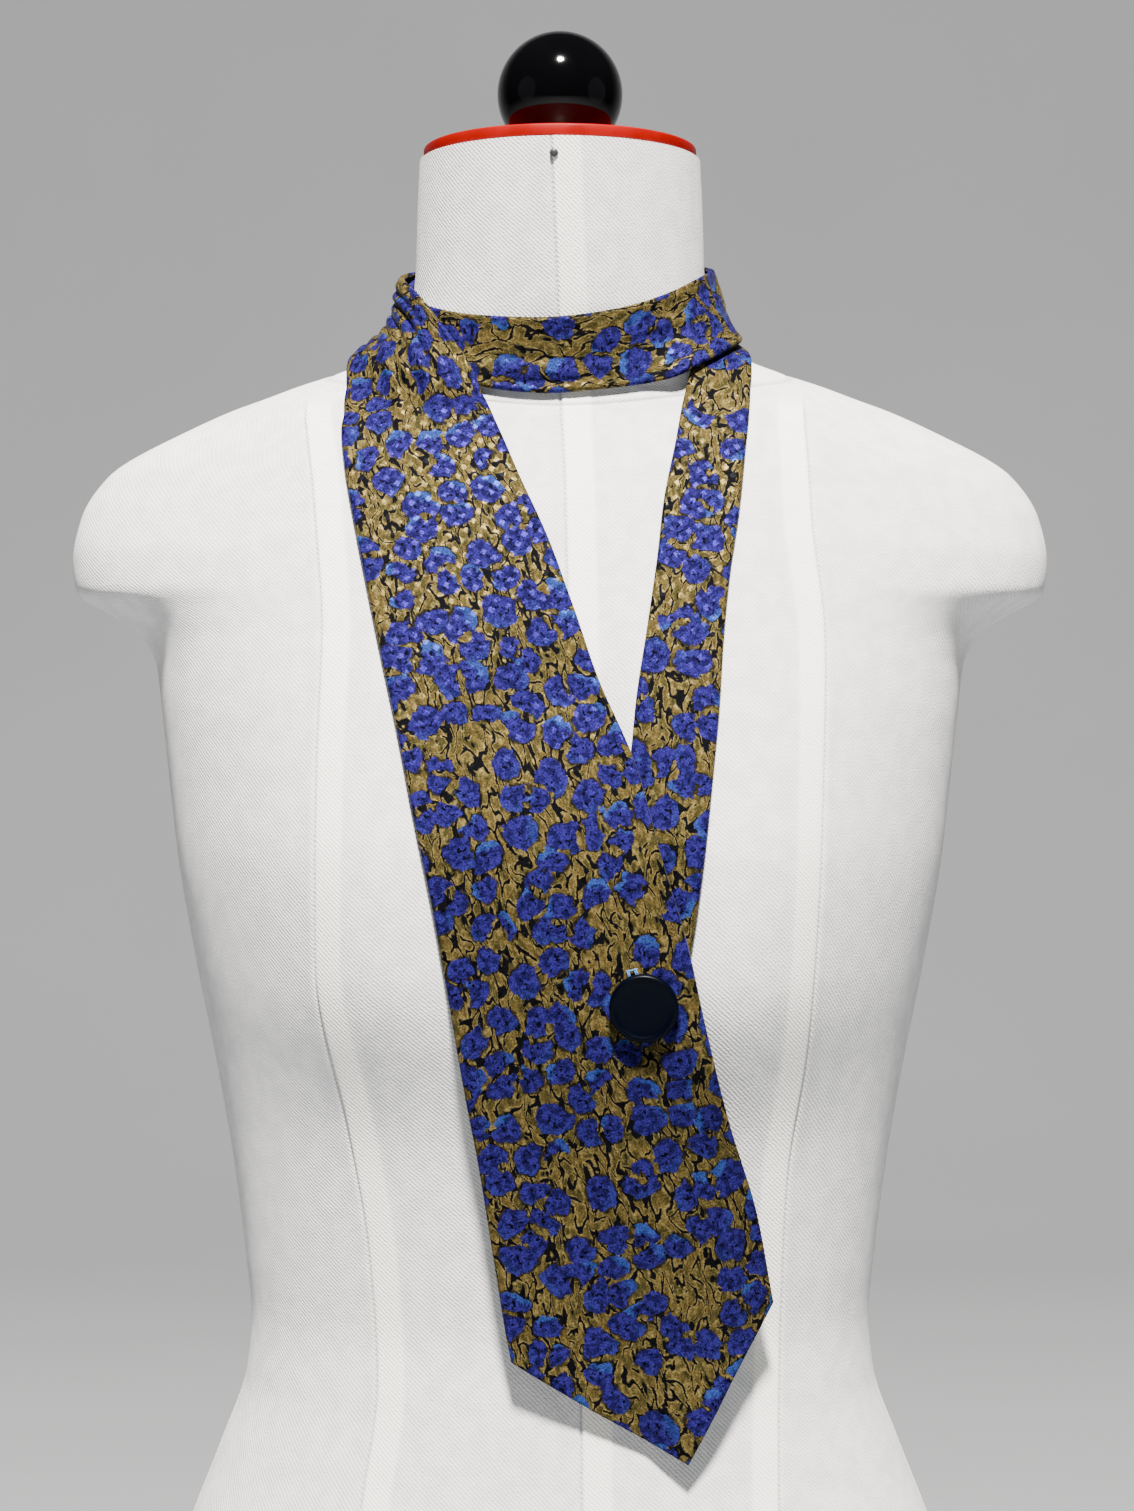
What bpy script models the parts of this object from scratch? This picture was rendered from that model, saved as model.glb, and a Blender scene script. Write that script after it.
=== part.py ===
"""A folded silk cravat wound one and a half times round the neck of a limbless dress form.

Tables and sizes are in millimetres and turn to metres where a mesh is made.
+X is the viewer's right, -Y is the front and +Z is up.
The origin lies on the floor under the middle of the form.
"""
import math

import bmesh
import bpy
import numpy as np

MM = 0.001

# Cloth sizes
WALL = 2.6
CLEARANCE = 1.0
LAYER_GAP = 0.6
SEAM_GAP = 0.3
EDGE_ROUNDING = 0.9
STEP_REACH = 2.5
STEP_FADE = 15.0
BRIDGING = 0.8
BRIDGING_TOP = 590.0
BRIDGING_FADE = 40.0
FALL_SLOPE = 0.07
FALL_LIMIT = 11.0

# Button, plate and ball
BUTTON_RADIUS = 13.0
BUTTON_THICKNESS = 4.0
BUTTON_X = 31.4
BUTTON_Z = 359.5
PLATE_THICKNESS = 5.0
PLATE_INSET = 1.6
BALL_RADIUS = 25.4
BALL_FOOT_DROP = 21.2

# Mesh fineness
FORM_RING_COUNT = 48
FORM_SIDES = 48
ROUND_SIDES = 32

# The covered form, ring by ring from the flat base to the top of the neck.
# Columns: height, half width, depth in front, depth behind, squareness of the ring.
FORM_RINGS = (
    (0, 166, 104, 116, 2.3),
    (40, 168, 105, 119, 2.3),
    (80, 168, 104, 119, 2.3),
    (115, 159, 101, 112, 2.3),
    (147, 148, 97, 102, 2.25),
    (175, 137, 92, 90, 2.2),
    (205, 126.5, 88, 80, 2.2),
    (228, 124.5, 86, 76, 2.2),
    (255, 127, 88, 76, 2.2),
    (293, 132, 92, 80, 2.2),
    (330, 138.5, 95, 86, 2.2),
    (370, 146.5, 97, 92, 2.25),
    (410, 153.5, 97, 97, 2.3),
    (440, 157, 94, 100, 2.3),
    (467, 160, 90, 102, 2.3),
    (488, 162.5, 86, 102, 2.25),
    (500, 164.5, 83, 101, 2.2),
    (512, 165, 79.5, 100, 2.2),
    (532, 164, 73, 98, 2.15),
    (548, 161, 67, 95, 2.1),
    (565, 155, 59, 90, 2.1),
    (581, 141, 51, 84, 2.05),
    (592, 129, 46, 79, 2.0),
    (600, 111, 44, 75, 2.0),
    (607, 90, 44, 71, 2.0),
    (613, 75, 45, 68, 2.0),
    (621, 65.5, 46.5, 64.5, 2.0),
    (632, 60.5, 49, 60.5, 2.0),
    (648, 58.5, 52, 57, 2.0),
    (670, 57.8, 55.5, 53.5, 2.0),
    (693, 56.8, 59, 50, 2.0),
)
NECK_TOP = FORM_RINGS[-1][0]

# The rounded arm plates, joined smoothly to the rings.
# Columns: height, half width, depth in front, depth behind.
ARM_RINGS = (
    (470, 80, 35, 40),
    (484, 100, 42, 54),
    (494, 140, 49, 64),
    (501, 158, 53, 69),
    (507, 171, 56, 72),
    (512, 182.5, 57, 74),
    (519, 194.5, 58, 75),
    (532, 196, 57, 75),
    (548, 193, 52, 72),
    (565, 182, 46, 68),
    (581, 154, 40, 62),
    (592, 124, 35, 55),
    (600, 80, 28, 48),
    (612, 40, 20, 30),
)
ARM_SQUARENESS = 2.6
JOIN_SHARPNESS = 16

# The bust is a soft rise on each side, sharper below than above.
BUST_X = 92.0
BUST_HEIGHT = 385.0
BUST_RISE = 28.0
BUST_SPREAD = 42.0
BUST_SPREAD_ABOVE = 72.0
BUST_REACH_BELOW = 60.0

# The cloth is one strip, described by cross-lines from its narrow end to its tip.
# Narrow strip on the chest. Columns: x and height of the neck edge, then of the outer edge.
STRIP_CHEST = (
    (9, 350, 42, 345),
    (15, 380, 48.5, 376),
    (21, 418, 54, 413),
    (27, 454, 58, 450),
    (29, 474, 60, 469),
    (33, 500, 62, 496),
    (37, 527, 65, 523),
    (40, 551, 69, 547),
    (45, 575, 72, 571),
    (48, 591, 74, 588),
)
# Narrow strip over the shoulder. Columns: x, y, height of the neck edge, then of the outer edge.
STRIP_SHOULDER = (
    (51, -40, 603, 74.3, -32, 598),
    (54.5, -31, 614, 74.2, -21, 604.8),
    (57.5, -19, 624, 73.2, -7, 610.5),
    (59, -4, 633, 71.5, 8, 613.5),
    (58.5, 10, 640.5, 68, 21, 615),
    (55.5, 22.5, 647, 62, 32.5, 618),
)
# Round the neck, angles counted on from the front through the viewer's right.
# Columns: angle, height of the upper edge, height of the lower edge.
NECK_TURNS = (
    (137, 658, 627),
    (160, 665.5, 633.5),
    (180, 669, 637),
    (205, 666, 634),
    (235, 656, 625),
    (265, 644.5, 616),
    (290, 634, 608),
    (315, 627, 599),
    (335, 625, 594.8),
    (355, 624.6, 593.8),
    (375, 626.3, 595),
    (393, 629.8, 597),
    (408, 634.8, 600.2),
    (425, 642, 608.5),
    (445, 648.5, 616),
    (465, 653, 620.5),
    (490, 658.5, 624),
    (515, 663, 626.5),
    (540, 664.5, 627),
    (565, 662, 624.5),
    (590, 656, 619),
)
# Blade over the other shoulder, in the columns of the strip's shoulder table.
BLADE_SHOULDER = (
    (-58, 8, 649, -69, 27, 611.5),
    (-57.5, -10, 643.5, -78, 6, 609.5),
    (-55.2, -25, 637, -82.5, -13, 607),
    (-51.5, -33, 630.5, -84, -26, 603),
    (-46, -40, 622, -84.3, -34, 598),
    (-40, -45, 613.5, -85, -38.5, 592.5),
    (-34.3, -48.5, 604, -85, -43, 587),
)
# Blade on the chest, in the columns of the strip's chest table.
BLADE_CHEST = (
    (-30, 593, -85, 580),
    (-23, 578, -83, 563),
    (-15, 559, -79, 543),
    (-5, 537, -74, 520),
    (5, 510, -68, 493),
    (15, 481, -61, 462),
    (29, 449, -54.5, 429),
    (38.5, 416, -47.6, 396),
    (48, 384, -41.6, 362),
    (55, 350, -35.5, 328),
    (62.8, 317, -29.3, 295),
    (73, 283, -24, 261),
    (80, 246, -18, 225),
)
TIP_X = 46.2
TIP_HEIGHT = 184.2
TIP_BLEND_LENGTH = 80.0

# Gathers at the blade's shoulder turn, from its neck edge at 0 to its outer edge at 1.
# Columns: place across, half width, height, start and end past the blade's shoulder line.
GATHERS = (
    (0.08, 2.6, 1.1, -40, 75),
    (0.20, 2.8, 1.7, -55, 105),
    (0.33, 2.6, 1.9, -35, 130),
    (0.45, 3.0, 1.6, -60, 95),
    (0.57, 2.8, 1.8, -25, 120),
    (0.70, 3.2, 1.3, -45, 80),
    (0.86, 3.4, 0.8, -20, 60),
)
# Long soft creases of the turns round the neck.
# Columns: place across, half width, height, start and end in degrees of the turn.
CREASES = (
    (0.30, 3.0, 0.8, 150, 250),
    (0.66, 3.2, 0.7, 175, 275),
    (0.72, 3.4, 0.8, 318, 392),
    (0.35, 3.2, 0.7, 352, 452),
    (0.60, 3.0, 0.9, 430, 560),
    (0.28, 3.4, 1.0, 500, 600),
)

# Cloth nodes. Columns: name, start, end, rows, columns.
# A place is a number of cross-lines from the narrow end, counting through the tables.
STRIP_LINES = len(STRIP_CHEST) + len(STRIP_SHOULDER)
TURN_LINES = len(NECK_TURNS)
STRIP_END = STRIP_LINES - 1
INNER_WRAP_END = STRIP_LINES + 5
BAND_END = STRIP_LINES + 15
OUTER_WRAP_END = STRIP_LINES + TURN_LINES
BLADE_CORNERS = STRIP_LINES + TURN_LINES + len(BLADE_SHOULDER) + len(BLADE_CHEST) - 1
STRETCHES = (
    ("narrow_strip", 0, STRIP_END, 46, 7),
    ("neck_wrap_inner", STRIP_END, INNER_WRAP_END, 26, 9),
    ("neck_band_front", INNER_WRAP_END, BAND_END, 34, 9),
    ("neck_wrap_outer", BAND_END, OUTER_WRAP_END, 26, 9),
    ("wide_blade", OUTER_WRAP_END, BLADE_CORNERS, 62, 17),
)
# Which stretches lie beneath each one.
BENEATH = {
    "narrow_strip": (),
    "neck_wrap_inner": (),
    "neck_band_front": ("narrow_strip",),
    "neck_wrap_outer": ("narrow_strip", "neck_wrap_inner"),
    "wide_blade": ("narrow_strip", "neck_wrap_inner", "neck_band_front"),
}

# Finishes. Columns: red, green and blue in linear light, roughness.
FINISHES = {
    "printed_silk": (0.045, 0.050, 0.190, 0.45),
    "cotton_cover": (0.78, 0.78, 0.76, 0.90),
    "red_lacquer": (0.75, 0.08, 0.05, 0.35),
    "black_gloss": (0.010, 0.009, 0.012, 0.12),
    "black_button": (0.008, 0.008, 0.012, 0.30),
}


def clear_scene():
    """Remove what the file holds before the model is made."""
    for item in list(bpy.data.objects):
        bpy.data.objects.remove(item, do_unlink=True)


def make_material(name):
    """Make one finish from its row."""
    red, green, blue, roughness = FINISHES[name]
    material = bpy.data.materials.new(name)
    material.use_nodes = True
    shader = material.node_tree.nodes["Principled BSDF"]
    shader.inputs["Base Color"].default_value = (red, green, blue, 1.0)
    shader.inputs["Roughness"].default_value = roughness
    shader.inputs["Metallic"].default_value = 0.0
    return material


def add_object(name, points, faces, material, angle=50):
    """Add a closed mesh given in millimetres, with its faces turned outwards."""
    mesh = bpy.data.meshes.new(name)
    mesh.from_pydata([tuple(p) for p in np.asarray(points) * MM], [], faces)
    work = bmesh.new()
    work.from_mesh(mesh)
    bmesh.ops.recalc_face_normals(work, faces=work.faces)
    work.to_mesh(mesh)
    work.free()
    mesh.shade_smooth()
    mesh.set_sharp_from_angle(angle=math.radians(angle))
    mesh.materials.append(material)
    item = bpy.data.objects.new(name, mesh)
    bpy.context.scene.collection.objects.link(item)
    return item


def row_slopes(values):
    """Slopes at a table's rows that never overshoot it."""
    steps = np.diff(values, axis=0)
    before, after = steps[:-1], steps[1:]
    same = before * after > 0
    total = np.where(same, before + after, 1.0)
    inner = np.where(same, 2 * before * after / total, 0.0)
    return np.concatenate([steps[:1], inner, steps[-1:]])


def blend_rows(values, slopes, places):
    """Cubic curve through rows with given slopes, at fractional row numbers."""
    places = np.asarray(places, float)
    row = np.clip(np.floor(places).astype(int), 0, len(values) - 2)
    t = (places - row)[..., None]
    rise = t * (1 - t) ** 2
    fall = t * t * (t - 1)
    start = values[row] * (1 + 2 * t) * (1 - t) ** 2 + slopes[row] * rise
    return start + values[row + 1] * t * t * (3 - 2 * t) + slopes[row + 1] * fall


def table_rows(table, count):
    """A table read at evenly spread places between its first row and its last."""
    values = np.asarray(table, float)
    return blend_rows(values, row_slopes(values), np.linspace(0, len(values) - 1, count))


FINE_RINGS = table_rows(FORM_RINGS, 3000)
FINE_ARMS = table_rows(ARM_RINGS, 3000)


def column_values(table, height):
    """Every column of a fine table after its first, at a height."""
    return [np.interp(height, table[:, 0], column) for column in table.T[1:]]


def ring_level(x, y, half_width, front, back, power):
    """Below 1 inside one squared ring and above 1 outside it."""
    depth = np.where(y < 0, front, back)
    return (np.abs(x / half_width) ** power + np.abs(y / depth) ** power) ** (1 / power)


def joined_level(x, y, height):
    """Below 1 inside the rings of the torso and the arm plates, joined smoothly."""
    core = ring_level(x, y, *column_values(FINE_RINGS, height))
    arms = ring_level(x, y, *column_values(FINE_ARMS, height), ARM_SQUARENESS)
    both = np.maximum(core, 1e-6) ** -JOIN_SHARPNESS + np.maximum(arms, 1e-6) ** -JOIN_SHARPNESS
    return both ** (-1 / JOIN_SHARPNESS)


def bust_rise(x, height, half_width):
    """How far the bust stands in front of the ring."""
    side = np.exp(-0.5 * ((np.abs(x) - BUST_X) / BUST_SPREAD) ** 2)
    offset = height - BUST_HEIGHT
    above = np.exp(-0.5 * (offset / BUST_SPREAD_ABOVE) ** 2)
    below = np.exp(-np.abs(offset / BUST_REACH_BELOW) ** 3)
    level = np.where(offset > 0, above, below)
    return BUST_RISE * side * level * np.clip(1 - (x / half_width) ** 2, 0, 1)


def form_level(points):
    """Below 0 inside the form, 0 on its surface and above 0 outside."""
    x, y, z = np.moveaxis(points, -1, 0)
    half_width, front, _, power = column_values(FINE_RINGS, z)
    across = np.clip(np.abs(x) / half_width, 0, 0.999)
    base = front * (1 - across ** power) ** (1 / power)
    plain = np.where(y < 0, y * base / (base + bust_rise(x, z, half_width)), y)
    return joined_level(x, plain, z) - 1


def form_gradient(points, step=0.05):
    """Direction in which the level rises, by small steps along each axis."""
    shifts = np.eye(3) * step
    parts = [form_level(points + s) - form_level(points - s) for s in shifts]
    return np.stack(parts, -1) / (2 * step)


def foot_on_form(points):
    """Nearest places on the form and its outward directions there."""
    feet = np.array(points, float)
    for _ in range(12):
        slope = form_gradient(feet)
        feet = feet - (form_level(feet) / (slope ** 2).sum(-1))[..., None] * slope
    slope = form_gradient(feet)
    return feet, slope / np.linalg.norm(slope, axis=-1, keepdims=True)


def front_point(x, height):
    """Point on the front of the form."""
    half_width, front, _, power = column_values(FINE_RINGS, height)
    across = min(abs(x) / half_width, 0.999)
    base = front * (1 - across ** power) ** (1 / power)
    return (x, -float(base + bust_rise(x, height, half_width)), height)


def neck_point(angle, height):
    """Point on the form at an angle round the neck."""
    turn = math.radians(angle)
    direction = np.array([math.sin(turn), -math.cos(turn)])
    return (*(direction / joined_level(*direction, height)), height)


def cross_lines():
    """Both ends of every cross-line of the strip, from its narrow end to the blade's corners."""
    lines = [(front_point(a, b), front_point(c, d)) for a, b, c, d in STRIP_CHEST]
    lines += [((a, b, c), (d, e, f)) for a, b, c, d, e, f in STRIP_SHOULDER]
    lines += [(neck_point(turn, up), neck_point(turn, low)) for turn, up, low in NECK_TURNS]
    lines += [((a, b, c), (d, e, f)) for a, b, c, d, e, f in BLADE_SHOULDER]
    lines += [(front_point(a, b), front_point(c, d)) for a, b, c, d in BLADE_CHEST]
    corners = np.array(lines[-1])
    shift = np.array([TIP_X, corners[:, 1].mean(), TIP_HEIGHT]) - corners.mean(0)
    lines.append(tuple(corners + shift))
    return np.array(lines, float)


LINES = cross_lines()
LINE_LENGTHS = np.concatenate([[0], np.cumsum(
    np.linalg.norm(np.diff(LINES.mean(1), axis=0), axis=-1))])


def line_slopes():
    """Slopes of both edges by length along the strip."""
    rise = np.diff(LINES, axis=0) / np.diff(LINE_LENGTHS)[:, None, None]
    gap = np.diff(LINE_LENGTHS)[:, None, None]
    inner = (rise[:-1] * gap[1:] + rise[1:] * gap[:-1]) / (gap[:-1] + gap[1:])
    return np.concatenate([rise[:1], inner, rise[-1:]])


LINE_SLOPES = line_slopes()


def strip_points(lengths, across):
    """Points of the strip at lengths along it and places across it, before they are laid."""
    row = np.clip(np.searchsorted(LINE_LENGTHS, lengths, "right") - 1, 0, len(LINES) - 2)
    gap = (LINE_LENGTHS[row + 1] - LINE_LENGTHS[row])[..., None, None]
    t = (lengths - LINE_LENGTHS[row])[..., None, None] / gap
    edges = LINES[row] * (1 + 2 * t) * (1 - t) ** 2 + LINE_SLOPES[row] * gap * t * (1 - t) ** 2
    edges = edges + LINES[row + 1] * t * t * (3 - 2 * t)
    edges = edges + LINE_SLOPES[row + 1] * gap * t * t * (t - 1)
    return edges[..., 0, :] * (1 - across[..., None]) + edges[..., 1, :] * across[..., None]


def length_at(place):
    """Length along the strip at a count of cross-lines."""
    return float(np.interp(place, np.arange(len(LINES)), LINE_LENGTHS))


def turn_length(angle):
    """Length along the strip at an angle of the turns round the neck."""
    angles = [row[0] for row in NECK_TURNS]
    places = STRIP_LINES + np.arange(TURN_LINES)
    return length_at(np.interp(angle, angles, places))


def soft_step(value):
    """Smooth rise from 0 to 1."""
    value = np.clip(value, 0, 1)
    return value * value * (3 - 2 * value)


def ridge(lengths, offsets, half_width, height, start, end):
    """A soft ridge along the strip that fades out at both ends."""
    middle, half = (start + end) / 2, (end - start) / 2
    along = 1 - soft_step(np.abs(lengths - middle) / half)
    return height * along * np.exp(-0.5 * (offsets / half_width * 1.6) ** 2)


def folds(lengths, across, widths):
    """Height added by the gathers and the long creases."""
    added = np.zeros_like(lengths)
    shoulder = length_at(OUTER_WRAP_END)
    for place, half_width, height, start, end in GATHERS:
        offsets = (across - place) * widths
        added += ridge(lengths, offsets, half_width, height, shoulder + start, shoulder + end)
    for place, half_width, height, start, end in CREASES:
        offsets = (across - place) * widths
        span = (turn_length(start), turn_length(end))
        added += ridge(lengths, offsets, half_width, height, *span)
    return added


def stretch_grid(start, end, rows, columns, tip):
    """Lengths and places across for a stretch, with the pointed end where it has one."""
    along = np.linspace(start, end, rows)[:, None] + np.zeros(columns)
    widths = np.linalg.norm(LINES[:, 1] - LINES[:, 0], axis=-1)
    inset = EDGE_ROUNDING / np.interp(along, LINE_LENGTHS, widths)
    across = inset + (1 - 2 * inset) * np.linspace(0, 1, columns)
    if tip:
        reach = LINE_LENGTHS[-1] - LINE_LENGTHS[-2]
        ramp = np.clip((along - end + TIP_BLEND_LENGTH) / TIP_BLEND_LENGTH, 0, 1) ** 1.5
        along = along + ramp * reach * (1 - np.abs(2 * across - 1))
    return along, across


def lifts_over(feet, beneath):
    """Distance of the cloth's inner face from the form where it lies on other stretches."""
    lifts = np.full(feet.shape[:-1], CLEARANCE)
    for under_feet, under_lifts in beneath:
        samples, tops = under_feet.reshape(-1, 3), under_lifts.reshape(-1) + WALL + LAYER_GAP
        flat = feet.reshape(-1, 3)
        far = np.linalg.norm(flat[:, None, :] - samples[None], axis=-1)
        weight = 1 - soft_step((far - STEP_REACH) / STEP_FADE)
        need = CLEARANCE + ((tops[None] - CLEARANCE) * weight).max(1)
        lifts = np.maximum(lifts, need.reshape(lifts.shape))
    return lifts


def fall_clear(depths, heights):
    """Depth added where the cloth falls from the bust and hangs clear of the form."""
    hull = depths.copy()
    for row in range(1, len(hull)):
        drop = np.maximum(heights[row - 1] - heights[row], 0)
        hull[row] = np.maximum(hull[row], hull[row - 1] - FALL_SLOPE * drop)
    return FALL_LIMIT * np.tanh((hull - depths) / FALL_LIMIT)


def bridge(depths, across):
    """Depth added in a row where the cloth spans a hollow between its edges."""
    chord = depths[:, :1] * (1 - across) + depths[:, -1:] * across
    return BRIDGING * np.maximum(chord - depths, 0)


class Stretch:
    """One stretch of the strip, laid on the form and on the stretches beneath it."""

    def __init__(self, name, start, end, rows, columns, laid):
        self.name = name
        first = length_at(start) + (SEAM_GAP / 2 if start else 0)
        self.tip = name == "wide_blade"
        last = length_at(end) - (0 if self.tip else SEAM_GAP / 2)
        self.lengths, self.across = stretch_grid(first, last, rows, columns, self.tip)
        guides = strip_points(self.lengths, self.across)
        self.feet, self.normals = foot_on_form(guides)
        widths = np.linalg.norm(guides[:, -1] - guides[:, 0], axis=-1)[:, None]
        beneath = [laid[under].samples() for under in BENEATH[name]]
        self.lift = lifts_over(self.feet, beneath) + folds(self.lengths, self.across, widths)

    def samples(self):
        """Feet and lifts that a later stretch lies on."""
        return self.feet, self.lift

    def face(self, height):
        """Grid of points at a height above the inner face."""
        points = self.feet + self.normals * (self.lift + height)[..., None]
        if self.tip:
            points[..., 1] -= fall_clear(-points[..., 1], points[..., 2])
            chest = soft_step((BRIDGING_TOP - self.feet[:, :, 2].max(1)) / BRIDGING_FADE)
            points[..., 1] -= bridge(-points[..., 1], self.across) * chest[:, None]
        return points

    def edge(self, column, outward):
        """Middle line of a folded edge, moved out to the strip's full width."""
        middle = self.face(WALL / 2)
        step = middle[:, column] - middle[:, column - outward]
        step = step / np.linalg.norm(step, axis=-1, keepdims=True)
        return middle[:, column] + step * EDGE_ROUNDING

    def build(self, material):
        """Closed wall from the outer face, the inner face and the two folded edges."""
        outer, inner = self.face(WALL), self.face(0)
        left, right = self.edge(0, -1), self.edge(-1, 1)
        loop = np.concatenate([outer, right[:, None], inner[:, ::-1], left[:, None]], axis=1)
        rows, count = loop.shape[:2]
        faces = []
        for r in range(rows - 1):
            for c in range(count):
                after = (c + 1) % count
                corners = (r * count + c, r * count + after,
                           (r + 1) * count + after, (r + 1) * count + c)
                faces.append(corners)
        for r in (0, rows - 1):
            faces += self.end_faces(r * count, outer.shape[1], count)
        return add_object(self.name, loop.reshape(-1, 3), faces, material)

    @staticmethod
    def end_faces(first, columns, count):
        """Faces that close one end of the wall."""
        faces = []
        for c in range(columns - 1):
            under = 2 * columns - c
            faces.append((first + c, first + c + 1, first + under - 1, first + under))
        faces.append((first + columns - 1, first + columns, first + columns + 1))
        faces.append((first, first + 2 * columns, first + count - 1))
        return faces


def ring_points(half_width, depth, height, sides):
    """Points round the form at one height, spread by an oval of a half width and a depth."""
    turn = np.linspace(0, 2 * math.pi, sides, endpoint=False)
    x, y = half_width * np.cos(turn), depth * np.sin(turn)
    level = joined_level(x, y, height)
    x, y = x / level, y / level
    core_width = column_values(FINE_RINGS, height)[0]
    y = y - np.where(y < 0, bust_rise(x, height, core_width), 0)
    return np.stack([x, y, np.full(sides, height)], -1)


def stacked(rings):
    """Points and faces of a closed body through rings from bottom to top."""
    sides = len(rings[0])
    faces = [tuple(range(sides))[::-1]]
    for level in range(len(rings) - 1):
        for side in range(sides):
            after = (side + 1) % sides
            low, high = level * sides, (level + 1) * sides
            faces.append((low + side, low + after, high + after, high + side))
    top = (len(rings) - 1) * sides
    faces.append(tuple(range(top, top + sides)))
    return np.concatenate(rings), faces


def build_form(material):
    """Torso, arm plates and neck as one covered body."""
    rings = []
    for height, half_width, front, back, _ in table_rows(FORM_RINGS, FORM_RING_COUNT):
        spread = max(half_width, column_values(FINE_ARMS, height)[0])
        rings.append(ring_points(spread, (front + back) / 2, height, FORM_SIDES))
    return add_object("form_torso", *stacked(rings), material)


def build_plate(material):
    """Flat cap on the neck with a rounded rim."""
    bottom = NECK_TOP + SEAM_GAP
    rim = ((0, 1.2), (0.9, 0.2), (2.5, 0), (PLATE_THICKNESS - 0.9, 0.2), (PLATE_THICKNESS, 1.2))
    _, half_width, front, back, _ = FORM_RINGS[-1]
    turn = np.linspace(0, 2 * math.pi, FORM_SIDES, endpoint=False)
    rings = []
    for rise, inset in rim:
        inset += PLATE_INSET
        depth = np.where(np.sin(turn) < 0, front, back) - inset
        x, y = (half_width - inset) * np.cos(turn), depth * np.sin(turn)
        rings.append(np.stack([x, y, np.full(FORM_SIDES, bottom + rise)], -1))
    return add_object("neck_plate", *stacked(rings), material, angle=35)


def turned(profile, sides, centre):
    """Points and faces of a turned body. Profile rows: radius, height."""
    turn = np.linspace(0, 2 * math.pi, sides, endpoint=False)
    circle = np.stack([np.cos(turn), np.sin(turn), np.zeros(sides)], -1)
    rings = [circle * radius + np.array([0, 0, height]) + centre for radius, height in profile]
    return stacked(rings)


def build_ball(material):
    """Ball knob that stands on the plate on a small flat foot."""
    plate_top = NECK_TOP + SEAM_GAP + PLATE_THICKNESS
    centre_y = (FORM_RINGS[-1][3] - FORM_RINGS[-1][2]) / 2
    centre = np.array([0, centre_y, plate_top + SEAM_GAP + BALL_FOOT_DROP])
    lowest = math.asin(-BALL_FOOT_DROP / BALL_RADIUS)
    angles = np.linspace(lowest, math.radians(84), 15)
    profile = [(BALL_RADIUS * math.cos(a), BALL_RADIUS * math.sin(a)) for a in angles]
    return add_object("ball_knob", *turned(profile, ROUND_SIDES, centre), material)


def build_button(blade, material):
    """Round button sewn flat on the blade."""
    outer = blade.face(WALL)
    miss = np.hypot(outer[..., 0] - BUTTON_X, outer[..., 2] - BUTTON_Z)
    row, column = np.unravel_index(np.argmin(miss), miss.shape)
    along = outer[row + 1, column] - outer[row - 1, column]
    sideways = outer[row, column + 1] - outer[row, column - 1]
    normal = np.cross(sideways, along)
    normal = normal / np.linalg.norm(normal) * (1 if normal[1] < 0 else -1)
    centre = outer[row, column] + np.array([BUTTON_X, 0, BUTTON_Z]) - outer[row, column] * (1, 0, 1)
    near = outer[miss < BUTTON_RADIUS + 9]
    proud = ((near - centre) @ normal).max()
    back = centre + normal * (proud + SEAM_GAP)
    across = np.cross(normal, (0, 0, 1))
    across = across / np.linalg.norm(across)
    upward = np.cross(across, normal)
    rim = BUTTON_RADIUS
    profile = ((rim - 1.2, 0), (rim, 1.1), (rim, 2.6), (rim - 0.9, BUTTON_THICKNESS),
               (rim - 2.2, BUTTON_THICKNESS), (rim - 2.9, BUTTON_THICKNESS - 0.5))
    points, faces = turned(profile, ROUND_SIDES, np.zeros(3))
    placed = back + points[:, :1] * across + points[:, 1:2] * upward + points[:, 2:] * normal
    return add_object("button", placed, faces, material, angle=35)


def build_model():
    """Build the form, the cravat and the button."""
    clear_scene()
    materials = {name: make_material(name) for name in FINISHES}
    build_form(materials["cotton_cover"])
    build_plate(materials["red_lacquer"])
    build_ball(materials["black_gloss"])
    laid = {}
    for name, start, end, rows, columns in STRETCHES:
        laid[name] = Stretch(name, start, end, rows, columns, laid)
        laid[name].build(materials["printed_silk"])
    build_button(laid["wide_blade"], materials["black_button"])


build_model()
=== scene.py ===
"""A folded silk cravat on a covered dress form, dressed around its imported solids.

Tables and sizes are in millimetres and turn to metres where a mesh is made. Only the studio's
are in metres.
+X is the viewer's right, -Y is the front and +Z is up.
"""
import logging
import math
from dataclasses import dataclass
from enum import Enum

import bmesh
import bpy
import numpy as np
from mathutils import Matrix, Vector


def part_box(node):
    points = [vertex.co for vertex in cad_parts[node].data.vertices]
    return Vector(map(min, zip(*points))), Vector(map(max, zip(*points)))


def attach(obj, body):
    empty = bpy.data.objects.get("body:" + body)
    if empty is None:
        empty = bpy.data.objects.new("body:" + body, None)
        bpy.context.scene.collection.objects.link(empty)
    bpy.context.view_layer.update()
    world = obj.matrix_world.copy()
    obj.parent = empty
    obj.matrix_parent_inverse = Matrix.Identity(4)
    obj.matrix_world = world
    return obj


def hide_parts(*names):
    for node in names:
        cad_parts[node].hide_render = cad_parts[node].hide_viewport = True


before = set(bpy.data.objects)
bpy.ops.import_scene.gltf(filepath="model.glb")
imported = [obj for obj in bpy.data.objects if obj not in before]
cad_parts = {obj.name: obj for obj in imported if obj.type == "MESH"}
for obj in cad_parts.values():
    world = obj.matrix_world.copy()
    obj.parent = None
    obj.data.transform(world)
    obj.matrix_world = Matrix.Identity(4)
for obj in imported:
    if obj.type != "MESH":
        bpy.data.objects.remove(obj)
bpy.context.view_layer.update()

MM = 0.001
MM_IN_METRE = 1000.0
TURN = 2 * math.pi
LOG = logging.getLogger("cravat")
Grid = np.ndarray
Row = tuple[float, ...]
Table = tuple[Row, ...]


# Small tools

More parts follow.
